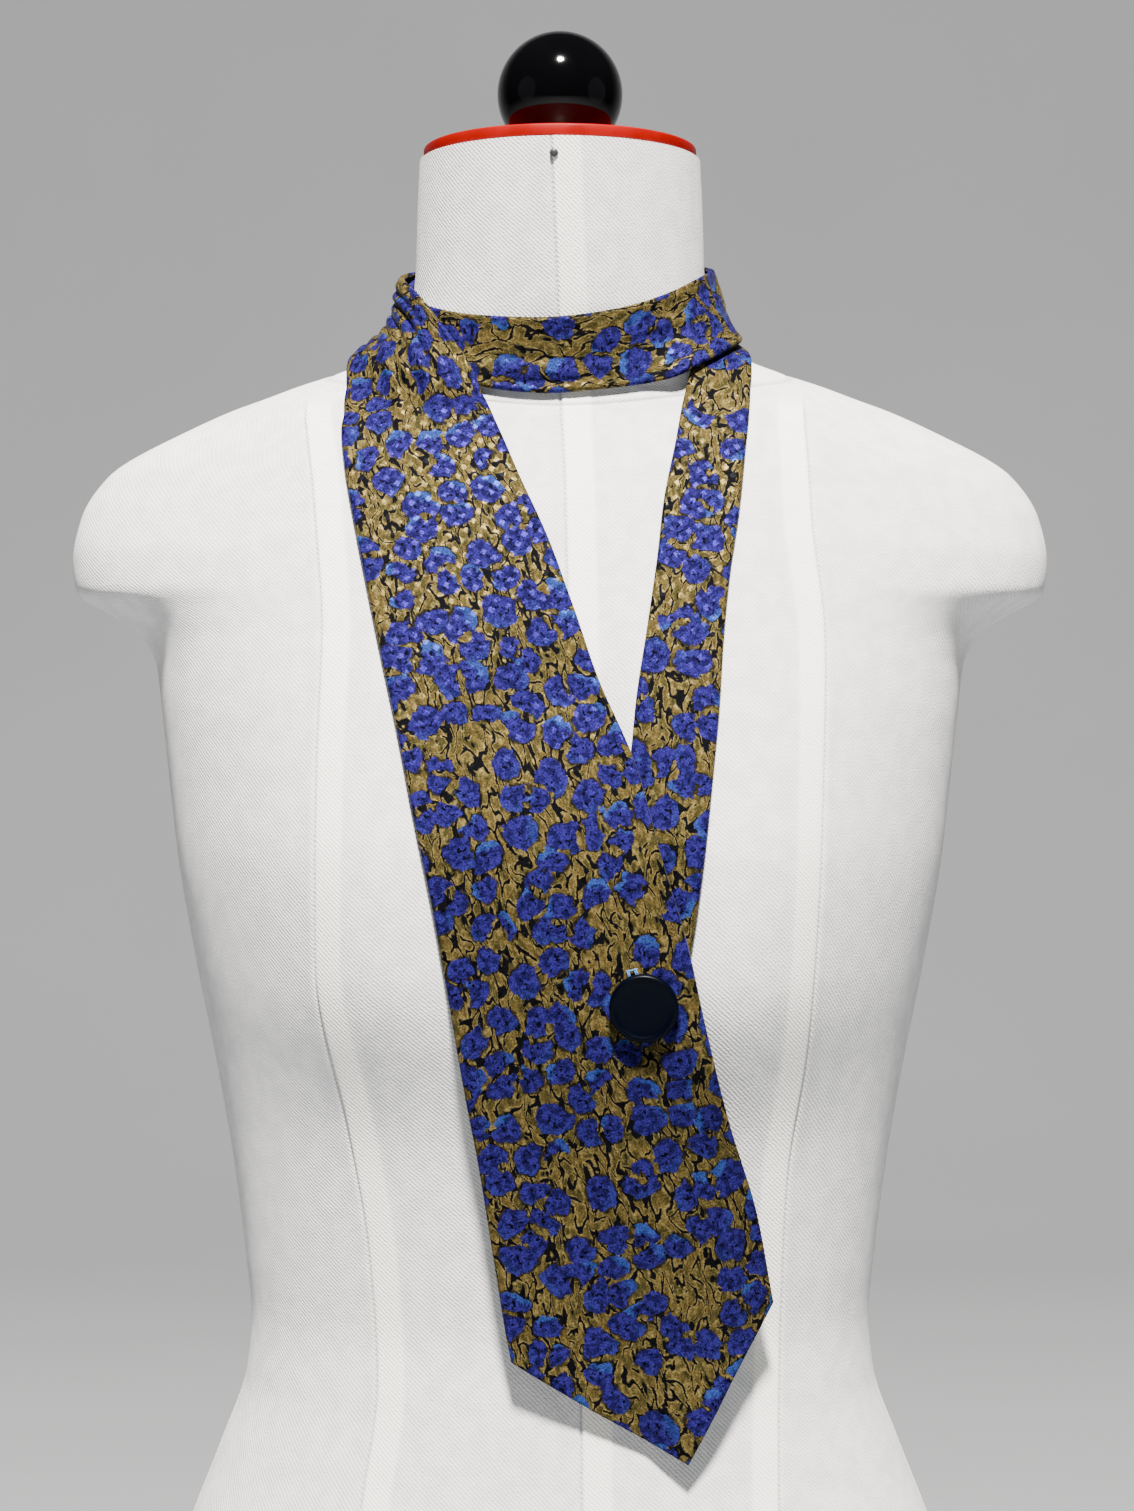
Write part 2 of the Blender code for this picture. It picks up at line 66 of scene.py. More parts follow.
def soft_step(value: Grid | float) -> Grid:
    """Smooth rise from 0 to 1."""
    value = np.clip(value, 0, 1)
    return value * value * (3 - 2 * value)


def hill(offset: Grid, half_width: float) -> Grid:
    """Rounded hill of height 1 that is nearly gone at its half width."""
    return np.exp(-0.5 * (offset / half_width * 1.6) ** 2)


def row_slopes(values: Grid) -> Grid:
    """Slopes at a table's rows that never overshoot it."""
    steps = np.diff(values, axis=0)
    before, after = steps[:-1], steps[1:]
    same = before * after > 0
    total = np.where(same, before + after, 1.0)
    inner = np.where(same, 2 * before * after / total, 0.0)
    return np.concatenate([steps[:1], inner, steps[-1:]])


def read_between(values: Grid, slopes: Grid, places: Grid) -> Grid:
    """Cubic curve through rows with given slopes.

    Args:
        values: the rows, with the columns in the last axis.
        slopes: the slope at each row.
        places: fractional row numbers.

    Returns:
        One row for each place.
    """
    row = np.clip(np.floor(places).astype(int), 0, len(values) - 2)
    t = (places - row)[..., None]
    start = values[row] * (1 + 2 * t) * (1 - t) ** 2 + slopes[row] * t * (1 - t) ** 2
    return start + values[row + 1] * t * t * (3 - 2 * t) + slopes[row + 1] * t * t * (t - 1)


def table_rows(table: Table, count: int) -> Grid:
    """A table read at evenly spread places between its first row and its last."""
    values = np.asarray(table, float)
    return read_between(values, row_slopes(values), np.linspace(0, len(values) - 1, count))


def column_values(table: Grid, height: Grid) -> list[Grid]:
    """Every column of a fine table after its first, at a height."""
    return [np.interp(height, table[:, 0], column) for column in table.T[1:]]


def resample(grid: Grid, down: Grid, over: Grid) -> Grid:
    """Smooth reading of a grid of numbers.

    Args:
        grid: values by row and column.
        down: fractional row numbers, one for each new row.
        over: fractional column numbers by new row and column.

    Returns:
        Values by new row and column.
    """
    middle = (grid[2:] - grid[:-2]) / 2
    slopes = np.concatenate([grid[1:2] - grid[:1], middle, grid[-1:] - grid[-2:-1]])
    rows = read_between(grid, slopes, down)
    column = np.clip(np.floor(over).astype(int), 0, grid.shape[1] - 2)
    t = soft_step(over - column) * 0.5 + (over - column) * 0.5
    index = np.arange(len(down))[:, None]
    return rows[index, column] * (1 - t) + rows[index, column + 1] * t


def unit(vectors: Grid) -> Grid:
    """Vectors brought to length 1."""
    return vectors / np.linalg.norm(vectors, axis=-1, keepdims=True)


def quad_strip(rows: int, columns: int, closed: bool) -> list[tuple[int, ...]]:
    """Four-sided faces of a grid of points.

    Args:
        rows: number of rows.
        columns: number of points in a row.
        closed: whether the last column joins the first.

    Returns:
        Faces as tuples of point numbers.
    """
    last = columns if closed else columns - 1
    faces = []
    for r in range(rows - 1):
        for c in range(last):
            after = (c + 1) % columns
            low, high = r * columns, (r + 1) * columns
            faces.append((low + c, low + after, high + after, high + c))
    return faces


def new_mesh(name: str, points: Grid, faces: list[tuple[int, ...]]) -> bpy.types.Mesh:
    """Mesh in metres from points in millimetres, with its faces turned outwards."""
    mesh = bpy.data.meshes.new(name)
    mesh.from_pydata((np.asarray(points) * MM).tolist(), [], faces)
    work = bmesh.new()
    work.from_mesh(mesh)
    bmesh.ops.recalc_face_normals(work, faces=work.faces)
    work.to_mesh(mesh)
    work.free()
    mesh.shade_smooth()
    return mesh


def new_piece(name: str, mesh: bpy.types.Mesh, finish: bpy.types.Material,
              sharp: float = 50) -> bpy.types.Object:
    """Object at the origin that carries a mesh and one finish.

    Args:
        name: name of the piece.
        mesh: its mesh, in place.
        finish: its material.
        sharp: angle in degrees past which an edge is drawn sharp.

    Returns:
        The new object.
    """
    mesh.set_sharp_from_angle(angle=math.radians(sharp))
    mesh.materials.clear()
    mesh.materials.append(finish)
    piece = bpy.data.objects.new(name, mesh)
    bpy.context.scene.collection.objects.link(piece)
    return piece


def turned_mesh(profile: list[tuple[float, float]], sides: int,
                squash: tuple[Grid, Grid] | None = None) -> tuple[Grid, list[tuple[int, ...]]]:
    """Points and faces of a turned body that is closed at both poles.

    Args:
        profile: radius and height, row by row, from the bottom pole to the top pole.
        sides: number of points round the body.
        squash: factors for x and y round the body, for one that isn't round.

    Returns:
        Points in millimetres and faces.
    """
    turn = np.linspace(0, TURN, sides, endpoint=False)
    circle = np.stack([np.cos(turn), np.sin(turn)], -1)
    if squash is not None:
        circle = circle * np.stack(squash, -1)
    rings = [np.column_stack([circle * r, np.full(sides, h)]) for r, h in profile[1:-1]]
    faces = quad_strip(len(rings), sides, True)
    points = np.concatenate(rings + [[(0, 0, profile[0][1])], [(0, 0, profile[-1][1])]])
    bottom, top = len(points) - 2, len(points) - 1
    first_top = (len(rings) - 1) * sides
    for c in range(sides):
        after = (c + 1) % sides
        faces.append((bottom, after, c))
        faces.append((top, first_top + c, first_top + after))
    return points, faces


def turned_to(points: Grid, direction: Grid) -> Grid:
    """Points turned so that what pointed up points along a direction."""
    turn = Vector((0, 0, 1)).rotation_difference(Vector(direction)).to_matrix()
    return points @ np.array(turn).T


# Finishes

def from_hex(code: str, strength: float = 1.0) -> tuple[float, float, float, float]:
    """Linear colour from an sRGB hex code."""
    parts = [int(code[i:i + 2], 16) / 255 for i in (1, 3, 5)]
    linear = [p / 12.92 if p <= 0.04045 else ((p + 0.055) / 1.055) ** 2.4 for p in parts]
    return (*[p * strength for p in linear], 1.0)


def fill_inputs(tree: bpy.types.NodeTree, node: bpy.types.Node, inputs: dict) -> None:
    """Give a node's inputs, named or numbered, their values or source sockets."""
    for key, value in inputs.items():
        socket = node.inputs[key]
        if isinstance(value, bpy.types.NodeSocket):
            tree.links.new(value, socket)
        else:
            socket.default_value = value


def add_node(tree: bpy.types.NodeTree, kind: str, inputs: dict | None = None,
             **settings: object) -> bpy.types.Node:
    """Add a node with its settings, values and links.

    Args:
        tree: node tree that gets the node.
        kind: type of the node, without its ShaderNode prefix, or in full.
        inputs: value or source socket for each input, by its name or number.
        settings: properties of the node.

    Returns:
        The new node.
    """
    full = kind if "Node" in kind else "ShaderNode" + kind
    node = tree.nodes.new(full)
    for key, value in settings.items():
        setattr(node, key, value)
    fill_inputs(tree, node, inputs or {})
    return node


class Maths:
    """Short sums on a shader tree's sockets."""

    def __init__(self, tree: bpy.types.NodeTree) -> None:
        """Keep the tree that gets the nodes."""
        self.tree = tree

    def sum(self, operation: str, *values: object) -> bpy.types.NodeSocket:
        """Result of one operation on numbers."""
        inputs = dict(enumerate(values))
        return add_node(self.tree, "Math", inputs, operation=operation).outputs[0]

    def vector(self, operation: str, *values: object, **named: object) -> bpy.types.NodeSocket:
        """Result of one operation on vectors: a number where it has one, or else a vector."""
        inputs = {**dict(enumerate(values)), **named}
        node = add_node(self.tree, "VectorMath", inputs, operation=operation)
        return node.outputs["Value" if operation in ("DOT_PRODUCT", "LENGTH") else "Vector"]

    def between(self, value: object, low: float, high: float,
                to_low: float = 0.0, to_high: float = 1.0) -> bpy.types.NodeSocket:
        """Smooth rise between two limits."""
        inputs = {0: value, 1: low, 2: high, 3: to_low, 4: to_high}
        return add_node(self.tree, "MapRange", inputs, interpolation_type="SMOOTHSTEP").outputs[0]

    def mix(self, share: object, first: object, second: object,
            blend: str = "MIX") -> bpy.types.NodeSocket:
        """Mix of two colours."""
        inputs = {0: share, 6: first, 7: second}
        return add_node(self.tree, "Mix", inputs, data_type="RGBA", blend_type=blend).outputs[2]

    def noise_node(self, place: object, size: float, detail: float, flat: bool) -> bpy.types.Node:
        """Noise node with features of a size in millimetres."""
        inputs = {"Vector": place, "Scale": 1.0 / size, "Detail": detail}
        return add_node(self.tree, "TexNoise", inputs, noise_dimensions="2D" if flat else "3D")

    def noise(self, place: object, size: float, detail: float = 2.0,
              flat: bool = True) -> bpy.types.NodeSocket:
        """Noise from 0 to 1 with features of a size in millimetres."""
        return self.noise_node(place, size, detail, flat).outputs[0]

    def drift(self, place: object, size: float, reach: float,
              detail: float = 2.0) -> bpy.types.NodeSocket:
        """A place moved about by noise."""
        colour = self.noise_node(place, size, detail, True).outputs["Color"]
        centred = self.vector("SUBTRACT", colour, (0.5, 0.5, 0.5))
        return self.vector("ADD", place, self.vector("SCALE", centred, Scale=reach))

    def off_middle(self, value: object, pitch: float) -> bpy.types.NodeSocket:
        """Distance from the middle of each step of a pattern, as a share of its pitch."""
        part = self.sum("FRACT", self.sum("DIVIDE", value, pitch))
        return self.sum("ABSOLUTE", self.sum("SUBTRACT", part, 0.5))

    def waves(self, place: object, direction: Row, pitch: float) -> bpy.types.NodeSocket:
        """Waves from -1 to 1 that run across a direction."""
        along = self.vector("DOT_PRODUCT", place, direction)
        return self.sum("SINE", self.sum("MULTIPLY", along, TURN / pitch))

    def cut_place(self) -> bpy.types.NodeSocket:
        """Place on the flat cut of a cloth, in millimetres."""
        return add_node(self.tree, "UVMap", uv_map="cut").outputs[0]

    def object_place(self) -> bpy.types.NodeSocket:
        """Place on the object, in millimetres."""
        place = add_node(self.tree, "TexCoord").outputs["Object"]
        return self.vector("SCALE", place, Scale=MM_IN_METRE)

    def bump(self, height: object, strength: float, depth: float) -> bpy.types.NodeSocket:
        """Relief of a depth in millimetres."""
        inputs = {"Height": height, "Strength": strength, "Distance": depth * MM}
        return add_node(self.tree, "Bump", inputs).outputs[0]


def new_finish(name: str) -> tuple[bpy.types.Material, Maths, bpy.types.Node]:
    """Material with the helper of its tree and its shader."""
    finish = bpy.data.materials.new(name)
    finish.use_nodes = True
    return finish, Maths(finish.node_tree), finish.node_tree.nodes["Principled BSDF"]


@dataclass(frozen=True)
class PrintedSilkTwill:
    """Silk twill with a small jacquard figure, screen printed with blossoms among leaves.

    Silk gives a soft deep sheen, and the satin squares gleam in the print's own colour. Real
    ribs stand about 0.3 mm apart, too fine to show in the render, so they are drawn at 0.5 mm.
    """

    blue: str = "#1e1852"
    deep_blue: str = "#100c33"
    light_blue: str = "#22376c"
    navy: str = "#04040c"
    olive: str = "#302c16"
    ochre: str = "#41371c"
    gold: str = "#6c5f39"
    brown: str = "#1f190c"
    ground: str = "#07070a"
    blossom_spacing: float = 12.8
    blossom_scatter: float = 0.86
    blossom_radius: float = 7.0
    blossom_variety: float = 1.8
    blank_share: float = 0.11
    # How far two neighbouring blossoms stay apart, from overlapping to well parted.
    gap: Row = (-0.3, 1.9)
    stroke: float = 0.46
    # Two sets of strokes between the leaves. Columns: spacing, lean, length before a break.
    stroke_sets: Table = ((4.6, 0.30, 6.0), (5.8, -0.42, 5.0))
    leaf_size: float = 3.4
    leaf_grain: float = 1.5
    petal_size: float = 2.8
    square_pitch: float = 4.8
    square_share: float = 0.47
    square_depth: float = 1.25
    matt: float = 0.72
    satin: float = 0.45
    gleam: float = 0.62
    thread: float = 0.5
    thread_direction: Row = (1.0, 0.55, 0.0)
    relief: float = 0.2

    def blossoms(self, sums: Maths, place: object) -> dict[str, object]:
        """Rounded angular blossoms, each in a cell of its own.

        Args:
            sums: helper of the tree.
            place: place on the cloth, in millimetres.

        Returns:
            Sockets: inside (above 0 within a blossom), far, facing and chance.
        """
        shared = {"Vector": place, "Scale": 1.0 / self.blossom_spacing,
                  "Randomness": self.blossom_scatter}
        cells, edges = (add_node(sums.tree, "TexVoronoi", shared, voronoi_dimensions="2D",
                                 feature=feature).outputs for feature in ("F1", "DISTANCE_TO_EDGE"))
        local = sums.vector("SUBTRACT", place, cells["Position"])
        far = sums.vector("LENGTH", local)
        chance = add_node(sums.tree, "SeparateColor", {0: cells["Color"]}).outputs
        gap = sums.between(sums.noise(place, 8.0, 1.0), 0.36, 0.62, *self.gap)
        to_edge = sums.sum("MULTIPLY", edges["Distance"], self.blossom_spacing)
        by_edge = sums.sum("SUBTRACT", to_edge, gap)
        radius = sums.sum("MULTIPLY_ADD", chance[2], self.blossom_variety,
                          self.blossom_radius - self.blossom_variety)
        inside = sums.sum("MINIMUM", by_edge, sums.sum("SUBTRACT", radius, far))
        blank = sums.sum("LESS_THAN", chance[1], self.blank_share)
        inside = sums.sum("MULTIPLY_ADD", blank, -20.0, inside)
        turn = sums.sum("MULTIPLY", chance[0], TURN)
        aim = add_node(sums.tree, "CombineXYZ", {
            0: sums.sum("COSINE", turn), 1: sums.sum("SINE", turn)}).outputs[0]
        facing = sums.vector("DOT_PRODUCT", local, aim)
        return {"inside": inside, "far": far, "facing": facing, "chance": chance[0]}

    def strokes(self, sums: Maths, place: object, width: float, slant: float,
                breaks: float) -> bpy.types.NodeSocket:
        """Long thin strokes that lean to one side of the strip's own direction.

        Args:
            sums: helper of the tree.
            place: place on the cloth, in millimetres.
            width: usual distance between two strokes.
            slant: how far the strokes lean, as a share of their length.
            breaks: usual length of a stroke before it breaks off.

        Returns:
            About the millimetres from a stroke, made larger where the stroke breaks off.
        """
        lean = sums.vector("DOT_PRODUCT", place, (1.0, slant, 0.0))
        sway = sums.vector("MULTIPLY", place, (1.0, 0.45, 1.0))
        swayed = sums.sum("MULTIPLY_ADD", sums.noise(sway, 7.0, 1.0), 13.0, lean)
        beside = sums.sum("SUBTRACT", 0.5, sums.off_middle(swayed, width))
        distance = sums.sum("MULTIPLY", beside, width)
        shifted = sums.vector("ADD", place, (40.0 * slant, 90.0, 0.0))
        gone = sums.noise(shifted, breaks, 1.0)
        return sums.sum("ADD", distance, sums.between(gone, 0.53, 0.60, 0.0, 1.2))

    def leaves(self, sums: Maths, place: object) -> bpy.types.NodeSocket:
        """Colour of the leaves, with pale edges and dark strokes between them."""
        rough = sums.drift(sums.drift(place, 30.0, 7.0, 1.0), 1.4, 0.7, 2.0)
        first, second = (self.strokes(sums, rough, *row) for row in self.stroke_sets)
        squeezed = sums.vector("MULTIPLY", rough, (1.0, 0.4, 1.0))
        patch = sums.noise(squeezed, self.leaf_size, 1.0)
        grain = sums.noise(squeezed, self.leaf_grain, 3.0)
        near = sums.sum("MINIMUM", first, second)
        leaf = sums.mix(sums.between(patch, 0.42, 0.58), from_hex(self.olive),
                        from_hex(self.ochre))
        leaf = sums.mix(sums.between(grain, 0.50, 0.68, 0.0, 0.4), leaf, from_hex(self.gold))
        leaf = sums.mix(sums.between(grain, 0.45, 0.32, 0.0, 0.3), leaf, from_hex(self.brown))
        leaf = sums.mix(sums.between(near, 1.15, 0.75, 0.0, 0.45), leaf, from_hex(self.gold))
        dark = sums.between(near, self.stroke + 0.16, self.stroke - 0.12)
        wedge = sums.between(sums.sum("ADD", first, second), 1.9, 1.5)
        pool = sums.between(patch, 0.30, 0.33, 1.0, 0.0)
        dark = sums.sum("MAXIMUM", dark, sums.sum("MAXIMUM", wedge, pool))
        return sums.mix(dark, leaf, from_hex(self.ground))

    def petals(self, sums: Maths, place: object, bloom: dict[str, object]) -> object:
        """Colour inside the blossoms."""
        facets = sums.noise(place, self.petal_size, 2.0)
        body = sums.mix(sums.between(facets, 0.36, 0.62), from_hex(self.deep_blue),
                        from_hex(self.blue))
        lit = sums.between(sums.sum("MULTIPLY_ADD", facets, 5.0, bloom["facing"]), 4.3, 7.0)
        chosen = sums.between(bloom["chance"], 0.40, 0.70, 0.12, 0.75)
        body = sums.mix(sums.sum("MULTIPLY", lit, chosen), body, from_hex(self.light_blue))
        spots = sums.between(sums.noise(place, 1.7, 1.0), 0.60, 0.66)
        dark = sums.sum("MULTIPLY", spots, sums.between(bloom["far"], 4.8, 2.6))
        return sums.mix(dark, body, from_hex(self.navy))

    def printed(self, sums: Maths, place: object) -> bpy.types.NodeSocket:
        """Colour of the print."""
        ragged = sums.drift(sums.drift(place, 15.0, 6.0, 1.0), 2.4, 2.6, 3.0)
        bloom = self.blossoms(sums, ragged)
        colour = self.leaves(sums, place)
        shade = sums.between(sums.noise(place, 6.0, 1.0), 0.42, 0.52, 0.15, 1.0)
        halo = sums.sum("MULTIPLY", shade, sums.between(bloom["inside"], -1.1, -0.5, 0.0, 0.85))
        colour = sums.mix(halo, colour, from_hex(self.ground))
        inside = sums.between(bloom["inside"], -0.12, 0.12)
        colour = sums.mix(inside, colour, self.petals(sums, place, bloom))
        grain = sums.between(sums.noise(place, 0.7, 2.0), 0.3, 0.7, 0.62, 1.40)
        return sums.mix(1.0, colour, grain, "MULTIPLY")

    def squares(self, sums: Maths, place: object) -> bpy.types.NodeSocket:
        """1 inside the satin squares of the jacquard, which lie on the bias."""
        half = self.square_share / 2
        masks = []
        for axis in ((0.7071, 0.7071, 0.0), (0.7071, -0.7071, 0.0)):
            along = sums.vector("DOT_PRODUCT", place, axis)
            off = sums.off_middle(along, self.square_pitch)
            masks.append(sums.between(off, half + 0.06, half - 0.06))
        return sums.sum("MULTIPLY", *masks)

    def build(self) -> bpy.types.Material:
        """Make the material."""
        finish, sums, shader = new_finish("printed silk twill")
        place = sums.cut_place()
        square = self.squares(sums, place)
        deeper = sums.between(square, 0.0, 1.0, 1.0, self.square_depth)
        colour = sums.mix(1.0, self.printed(sums, place), deeper, "MULTIPLY")
        ribs = sums.sum("MULTIPLY", sums.waves(place, self.thread_direction, self.thread), 0.15)
        height = sums.sum("MULTIPLY_ADD", square, 0.8, ribs)
        fill_inputs(sums.tree, shader, {
            "Base Color": colour,
            "Specular Tint": colour,
            "Roughness": sums.between(square, 0.0, 1.0, self.matt, self.satin),
            "Metallic": sums.between(square, 0.0, 1.0, 0.0, self.gleam),
            "Normal": sums.bump(height, 0.3, self.relief),
            "IOR": 1.54, "Specular IOR Level": 0.25,
            "Sheen Weight": 0.02, "Sheen Roughness": 0.35})
        return finish


@dataclass(frozen=True)
class CottonCover:
    """White cotton twill drawn tight over padding.

    It is matt and slightly fuzzy, with diagonal ribs, and paler over the seam allowances. Painted
    shade darkens it along the seam grooves. Real ribs stand about 0.8 mm apart, too fine to show in
    the render, so they are drawn at 1.3 mm.
    """

    cloth: str = "#dededf"
    shade: str = "#d4d4d6"
    doubled: str = "#f5f4ee"
    # Painted shade in the seam grooves: its grey, and how far it is mixed in.
    seam: str = "#8d8c8c"
    groove_shade_share: float = 0.45
    blotch: float = 9.0
    yarn: float = 0.8
    slub: float = 0.9
    rib: float = 1.3
    rib_direction: Row = (0.68, 0.73, 0.0)
    relief: float = 0.3

    def build(self) -> bpy.types.Material:
        """Make the material."""
        finish, sums, shader = new_finish("white cotton twill")
        place = sums.cut_place()
        blotches = sums.between(sums.noise(place, self.blotch, 4.0), 0.35, 0.65)
        # The seam attribute marks the grooves, where painted shade is mixed in.
        folded, seam = (add_node(sums.tree, "Attribute", attribute_name=name).outputs["Fac"]
                        for name in ("allowance", "seam"))
        wave = sums.waves(sums.drift(place, 6.0, 0.7, 2.0), self.rib_direction, self.rib)
        yarns = sums.noise(place, self.yarn, 2.0)
        slubs = sums.noise(sums.vector("MULTIPLY", place, (0.12, 1.0, 1.0)), self.slub, 2.0)
        uneven = sums.sum("MULTIPLY_ADD", wave, 0.08, sums.sum("ADD", yarns, slubs))
        cloth = sums.mix(blotches, from_hex(self.shade), from_hex(self.cloth))
        cloth = sums.mix(folded, cloth, from_hex(self.doubled))
        cloth = sums.mix(1.0, cloth, sums.between(uneven, 0.65, 1.35, 0.95, 1.04), "MULTIPLY")
        # Painted shade: the seam share follows the grooves and mixes the grey in there.
        shaded = sums.sum("MULTIPLY", seam, self.groove_shade_share)
        height = sums.sum("MULTIPLY_ADD", wave, 0.6, sums.sum("MULTIPLY", yarns, 1.8))
        fill_inputs(sums.tree, shader, {
            "Base Color": sums.mix(shaded, cloth, from_hex(self.seam)),
            "Normal": sums.bump(height, 0.4, self.relief),
            "Roughness": 0.92, "Sheen Weight": 0.08, "Specular IOR Level": 0.2})
        return finish


@dataclass(frozen=True)
class HardGloss:
    """A hard smooth finish, such as lacquer, polished resin or blackened steel."""

    name: str
    colour: str
    roughness: float
    ior: float
    shine: float
    orange_peel: float
    grain: float
    wear: float = 14.0

    def build(self) -> bpy.types.Material:
        """Make the material, with fine unevenness in its polish."""
        finish, sums, shader = new_finish(self.name)
        place = sums.object_place()
        wear = sums.noise(place, self.wear, 4.0, False)
        tone = sums.between(wear, 0.3, 0.7, 0.9, 1.08)
        skin = sums.noise(place, self.grain, 2.0, False)
        fill_inputs(sums.tree, shader, {
            "Base Color": sums.mix(1.0, from_hex(self.colour), tone, "MULTIPLY"),
            "Roughness": sums.between(wear, 0.3, 0.75, self.roughness * 0.75,
                                      self.roughness * 1.3),
            "Normal": sums.bump(skin, 0.2, self.orange_peel),
            "IOR": self.ior, "Specular IOR Level": self.shine})
        return finish


@dataclass(frozen=True)
class TwistedThread:
    """Mercerised cotton thread, whose twist shows as fine slanted lines."""

    name: str
    light: str
    dark: str
    twist: float = 0.45

    def build(self) -> bpy.types.Material:
        """Make the material."""
        finish, sums, shader = new_finish(self.name)
        wave = sums.waves(sums.object_place(), (1.0, 0.3, 1.0), self.twist)
        share = sums.between(wave, -1.0, 1.0)
        fill_inputs(sums.tree, shader, {
            "Base Color": sums.mix(share, from_hex(self.dark), from_hex(self.light)),
            "Roughness": 0.55, "Sheen Weight": 0.3})
        return finish


@dataclass(frozen=True)
class StudioPaper:
    """Matt paper of the floor, with slight clouds in its tone."""

    colour: str = "#85888c"
    cloud: float = 0.4

    def build(self) -> bpy.types.Material:
        """Make the material, whose clouds are measured in metres."""
        finish, sums, shader = new_finish("matt studio paper")
        place = add_node(sums.tree, "TexCoord").outputs["Object"]
        tone = sums.between(sums.noise(place, self.cloud, 3.0, False), 0.3, 0.7, 0.98, 1.02)
        fill_inputs(sums.tree, shader, {
            "Base Color": sums.mix(1.0, from_hex(self.colour), tone, "MULTIPLY"),
            "Roughness": 0.9})
        return finish


# The form's shape

@dataclass(frozen=True)
class FormShape:
    """Surface of the covered form: rings of the torso joined with rounded arm plates."""

    # Columns: height, half width, depth in front, depth behind, squareness of the ring.
    rings: Table = (
        (0, 166, 104, 116, 2.3),
        (40, 168, 105, 119, 2.3),
        (80, 168, 104, 119, 2.3),
        (115, 159, 101, 112, 2.3),
        (147, 148, 97, 102, 2.25),
        (175, 137, 92, 90, 2.2),
        (205, 126.5, 88, 80, 2.2),
        (228, 124.5, 86, 76, 2.2),
        (255, 127, 88, 76, 2.2),
        (293, 132, 92, 80, 2.2),
        (330, 138.5, 95, 86, 2.2),
        (370, 146.5, 97, 92, 2.25),
        (410, 153.5, 97, 97, 2.3),
        (440, 157, 94, 100, 2.3),
        (467, 160, 90, 102, 2.3),
        (488, 162.5, 86, 102, 2.25),
        (500, 164.5, 83, 101, 2.2),
        (512, 165, 79.5, 100, 2.2),
        (532, 164, 73, 98, 2.15),
        (548, 161, 67, 95, 2.1),
        (565, 155, 59, 90, 2.1),
        (581, 141, 51, 84, 2.05),
        (592, 129, 46, 79, 2.0),
        (600, 111, 44, 75, 2.0),
        (607, 90, 44, 71, 2.0),
        (613, 75, 45, 68, 2.0),
        (621, 65.5, 46.5, 64.5, 2.0),
        (632, 60.5, 49, 60.5, 2.0),
        (648, 58.5, 52, 57, 2.0),
        (670, 57.8, 55.5, 53.5, 2.0),
        (693, 56.8, 59, 50, 2.0),
    )
    # Columns: height, half width, depth in front, depth behind.
    arms: Table = (
        (470, 80, 35, 40),
        (484, 100, 42, 54),
        (494, 140, 49, 64),
        (501, 158, 53, 69),
        (507, 171, 56, 72),
        (512, 182.5, 57, 74),
        (519, 194.5, 58, 75),
        (532, 196, 57, 75),
        (548, 193, 52, 72),
        (565, 182, 46, 68),
        (581, 154, 40, 62),
        (592, 124, 35, 55),
        (600, 80, 28, 48),
        (612, 40, 20, 30),
    )
    arm_squareness: float = 2.6
    join_sharpness: float = 16
    bust_x: float = 92.0
    bust_height: float = 385.0
    bust_rise: float = 28.0
    bust_spread: float = 42.0
    bust_above: float = 72.0
    bust_below: float = 60.0
    fine_count: int = 3000
    foot_steps: int = 12

    def __post_init__(self) -> None:
        """Read both tables finely once."""
        object.__setattr__(self, "fine_rings", table_rows(self.rings, self.fine_count))
        object.__setattr__(self, "fine_arms", table_rows(self.arms, self.fine_count))

    @staticmethod
    def front_depth(x: Grid, half_width: Grid, front: Grid, power: Grid) -> Grid:
        """Depth of a ring's front, without the bust."""
        across = np.clip(np.abs(x) / half_width, 0, 0.999)
        return front * (1 - across ** power) ** (1 / power)

    @staticmethod
    def ring_level(x: Grid, y: Grid, half_width: Grid, front: Grid, back: Grid,
                   power: Grid) -> Grid:
        """Below 1 inside one squared ring and above 1 outside it."""
        depth = np.where(y < 0, front, back)
        return (np.abs(x / half_width) ** power + np.abs(y / depth) ** power) ** (1 / power)

    def joined_level(self, x: Grid, y: Grid, height: Grid) -> Grid:
        """Below 1 inside the torso and the arm plates, joined smoothly."""
        core = self.ring_level(x, y, *column_values(self.fine_rings, height))
        arms = self.ring_level(x, y, *column_values(self.fine_arms, height),
                               self.arm_squareness)
        sharp = self.join_sharpness
        both = np.maximum(core, 1e-6) ** -sharp + np.maximum(arms, 1e-6) ** -sharp
        return both ** (-1 / sharp)

    def bust(self, x: Grid, height: Grid, half_width: Grid) -> Grid:
        """How far the bust stands in front of the ring."""
        side = np.exp(-0.5 * ((np.abs(x) - self.bust_x) / self.bust_spread) ** 2)
        offset = height - self.bust_height
        above = np.exp(-0.5 * (offset / self.bust_above) ** 2)
        below = np.exp(-np.abs(offset / self.bust_below) ** 3)
        level = np.where(offset > 0, above, below)
        return self.bust_rise * side * level * np.clip(1 - (x / half_width) ** 2, 0, 1)

    def level(self, points: Grid) -> Grid:
        """Below 0 inside the form, 0 on its surface and above 0 outside."""
        x, y, z = np.moveaxis(points, -1, 0)
        half_width, front, _, power = column_values(self.fine_rings, z)
        base = self.front_depth(x, half_width, front, power)
        plain = np.where(y < 0, y * base / (base + self.bust(x, z, half_width)), y)
        return self.joined_level(x, plain, z) - 1

    def gradient(self, points: Grid, step: float = 0.05) -> Grid:
        """Direction in which the level rises, by small steps along each axis."""
        shifts = np.eye(3) * step
        parts = [self.level(points + s) - self.level(points - s) for s in shifts]
        return np.stack(parts, -1) / (2 * step)

    def feet(self, points: Grid) -> tuple[Grid, Grid]:
        """Nearest places on the form, and its outward directions there."""
        feet = np.array(points, float)
        for _ in range(self.foot_steps):
            slope = self.gradient(feet)
            feet = feet - (self.level(feet) / (slope ** 2).sum(-1))[..., None] * slope
        return feet, unit(self.gradient(feet))

